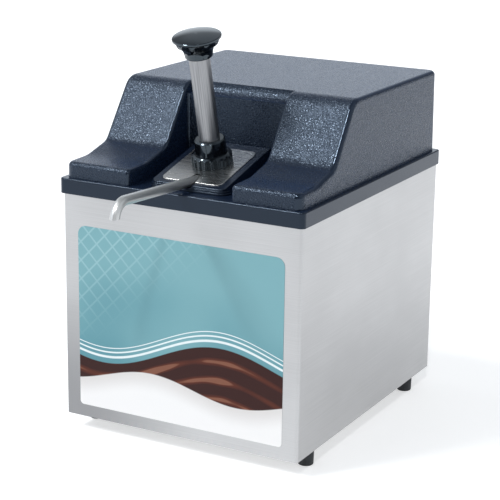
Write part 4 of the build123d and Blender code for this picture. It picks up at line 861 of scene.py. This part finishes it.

# ---------------------------------------------------------------- return spring
# A coil of stainless spring wire between its seat and the piston, wound with closed ends.
# The wire is bright grey with faint marks from its die.
spring_wire_steel, tree = new_finish("stainless spring wire")
die = node(tree, "TexNoise", {}, {"Vector": across(tree, 1, 1, 1), "Scale": 1.0, "Detail": 3.0})
wire_tone = node(tree, "Mix", two_tone, {0: die, 6: linear("#a9aaab"), 7: linear("#c9cacb")}, 2)
surface(
    tree,
    {
        "Base Color": wire_tone,
        "Metallic": 1.0,
        "Roughness": node(tree, "MapRange", eased, {0: die, 1: 0.3, 2: 0.7, 3: 0.2, 4: 0.3}),
    },
)
pump_foot = Vector((0, -0.0457173, 0.2838))  # middle of the plate's top
pump_up = Vector((0, -math.sin(pump_lean), math.cos(pump_lean)))
pump_back = Vector((0, math.cos(pump_lean), math.sin(pump_lean)))
coil_low = -0.11845  # along the pump's axis, from the plate
coil_high = -0.01885
coil_radius = 0.0104
wire_radius = 0.0009
coil_turns = 13
coil_steps = 40
closed_turns = 0.9  # at each end, where the wire lies on itself
end_rise = 1.7 * wire_radius / (coil_high - coil_low)  # of a closed end, in coil heights
coil_points = []
for i in range(coil_turns * coil_steps + 1):
    wound = i / coil_steps
    opened = min(max((wound - closed_turns) / (coil_turns - 2 * closed_turns), 0), 1)
    closed = min(wound / closed_turns, 1) + max((wound - coil_turns) / closed_turns + 1, 0)
    rise = opened * (1 - 2 * end_rise) + closed * end_rise
    angle = 2 * math.pi * wound
    coil_points.append(
        pump_foot
        + pump_up * (coil_low + (coil_high - coil_low) * rise)
        + Vector((1, 0, 0)) * coil_radius * math.cos(angle)
        + pump_back * coil_radius * math.sin(angle)
    )


def wire(points, radius, sides=12):
    """Vertices and faces of a round wire through the points, with flat ends."""
    vertices, faces = [], []
    for i, point in enumerate(points):
        ahead = (points[min(i + 1, len(points) - 1)] - points[max(i - 1, 0)]).normalized()
        first = ahead.cross(pump_up).normalized()
        second = ahead.cross(first)
        for k in range(sides):
            angle = 2 * math.pi * k / sides
            side = first * radius * math.cos(angle) + second * radius * math.sin(angle)
            vertices.append(point + side)
    for i in range(len(points) - 1):
        for k in range(sides):
            m = (k + 1) % sides
            faces.append((i * sides + k, i * sides + m, (i + 1) * sides + m, (i + 1) * sides + k))
    faces.append(tuple(range(sides))[::-1])
    faces.append(tuple(range((len(points) - 1) * sides, len(points) * sides)))
    return vertices, faces


spring = mesh_piece("return_spring_coil", *wire(coil_points, wire_radius), spring_wire_steel)
outward(spring)
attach(spring, "pump_insert")
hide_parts("return_spring")
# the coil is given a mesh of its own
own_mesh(spring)

# ---------------------------------------------------------------- studio
# A plain pale floor that runs to the horizon, a dim even sky with large soft boxes in it, and
# three soft lamps. The floor keeps the object's soft shadow.
pale_floor, tree = new_finish("pale floor")
# the glow makes the floor white to the eye and in mirrors, and lights nothing else
seen = node(tree, "LightPath", out="Is Camera Ray")
mirrored = node(tree, "LightPath", out="Is Glossy Ray")
through = node(tree, "LightPath", out="Is Transmission Ray")
direct = node(tree, "Math", {"operation": "MAXIMUM"}, {0: mirrored, 1: through})
direct = node(tree, "Math", {"operation": "MAXIMUM"}, {0: seen, 1: direct})
glow = node(tree, "Math", {"operation": "MULTIPLY"}, {0: direct, 1: 0.51})
glow = node(tree, "Emission", {}, {"Color": (1, 1, 1, 1), "Strength": glow})
paint = node(tree, "BsdfDiffuse", {}, {"Color": linear("#dfdfdf")})
glowing = node(tree, "AddShader", {}, {0: paint, 1: glow})
node(tree, "OutputMaterial", {}, {"Surface": glowing})
floor_half = 60.0
floor_corners = [(-1, -1), (1, -1), (1, 1), (-1, 1)]
floor_corners = [(x * floor_half, y * floor_half, 0) for x, y in floor_corners]
floor = mesh_piece("floor", floor_corners, [(0, 1, 2, 3)], pale_floor, False)

world = bpy.data.worlds.new("studio")
bpy.context.scene.world = world
world.use_nodes = True
world.node_tree.nodes.clear()
tree = world.node_tree
towards = node(tree, "TexCoord", out="Generated")
upward = node(tree, "SeparateXYZ", {}, {0: towards}, "Z")
sky = node(tree, "MapRange", eased, {0: upward, 1: 0.15, 2: 0.85, 3: 0.28, 4: 0.34})
# each soft box: where it hangs, how near to it the light starts and is full, and how much
for middle, edge, core, gain in (
    ((-0.475, 0.878, -0.05), 0.78, 0.92, 1.0),
    ((-0.78, -0.42, 0.46), 0.6, 0.92, 0.75),
    ((0.93, 0.05, 0.36), 0.7, 0.95, 0.45),
    ((-0.451, -0.55, 0.696), 0.85, 0.96, 0.4),
    ((-0.25, 0.68, 0.69), 0.9, 0.97, 0.3),
):
    box = Vector(middle).normalized()
    near = node(tree, "VectorMath", {"operation": "DOT_PRODUCT"}, {0: towards, 1: box}, "Value")
    near = node(tree, "MapRange", eased, {0: near, 1: edge, 2: core, 3: 0, 4: gain})
    sky = node(tree, "Math", {"operation": "ADD"}, {0: sky, 1: near})
sky = node(tree, "Background", {}, {"Color": (0.87, 0.935, 1, 1), "Strength": sky})
node(tree, "OutputWorld", {}, {"Surface": sky})

# each lamp: its strength, how many degrees wide it looks, and which way it shines
for name, strength, spread, shines in (
    ("left lamp", 1.3, 13, (0.45, 0.56, -0.69)),
    ("camera lamp", 0.6, 5, (-0.222, 0.562, -0.794)),
    ("overhead lamp", 0.45, 4, (0.5, 0.24, -0.83)),
):
    lamp = bpy.data.lights.new(name, "SUN")
    lamp.energy = strength
    lamp.angle = math.radians(spread)
    holder = bpy.data.objects.new(name, lamp)
    holder.rotation_euler = Vector(shines).to_track_quat("-Z", "Y").to_euler()
    bpy.context.scene.collection.objects.link(holder)

# the camera stands in front, to the right and above, at the photograph's angle
camera_place = (0.78946, -1.42038, 0.64359)
yaw, pitch, roll = (math.radians(angle) for angle in (28.491, 15.822, 0.791))
camera_data = bpy.data.cameras.new("camera")
camera_data.sensor_width = 36
camera_data.lens = 118.78
camera_data.clip_end = 200
camera = bpy.data.objects.new("camera", camera_data)
camera.matrix_world = (
    Matrix.Translation(camera_place)
    @ Matrix.Rotation(yaw, 4, "Z")
    @ Matrix.Rotation(math.pi / 2 - pitch, 4, "X")
    @ Matrix.Rotation(roll, 4, "Z")
)
bpy.context.scene.collection.objects.link(camera)
bpy.context.scene.camera = camera
bpy.context.scene.view_settings.view_transform = "Standard"

bpy.context.view_layer.update()
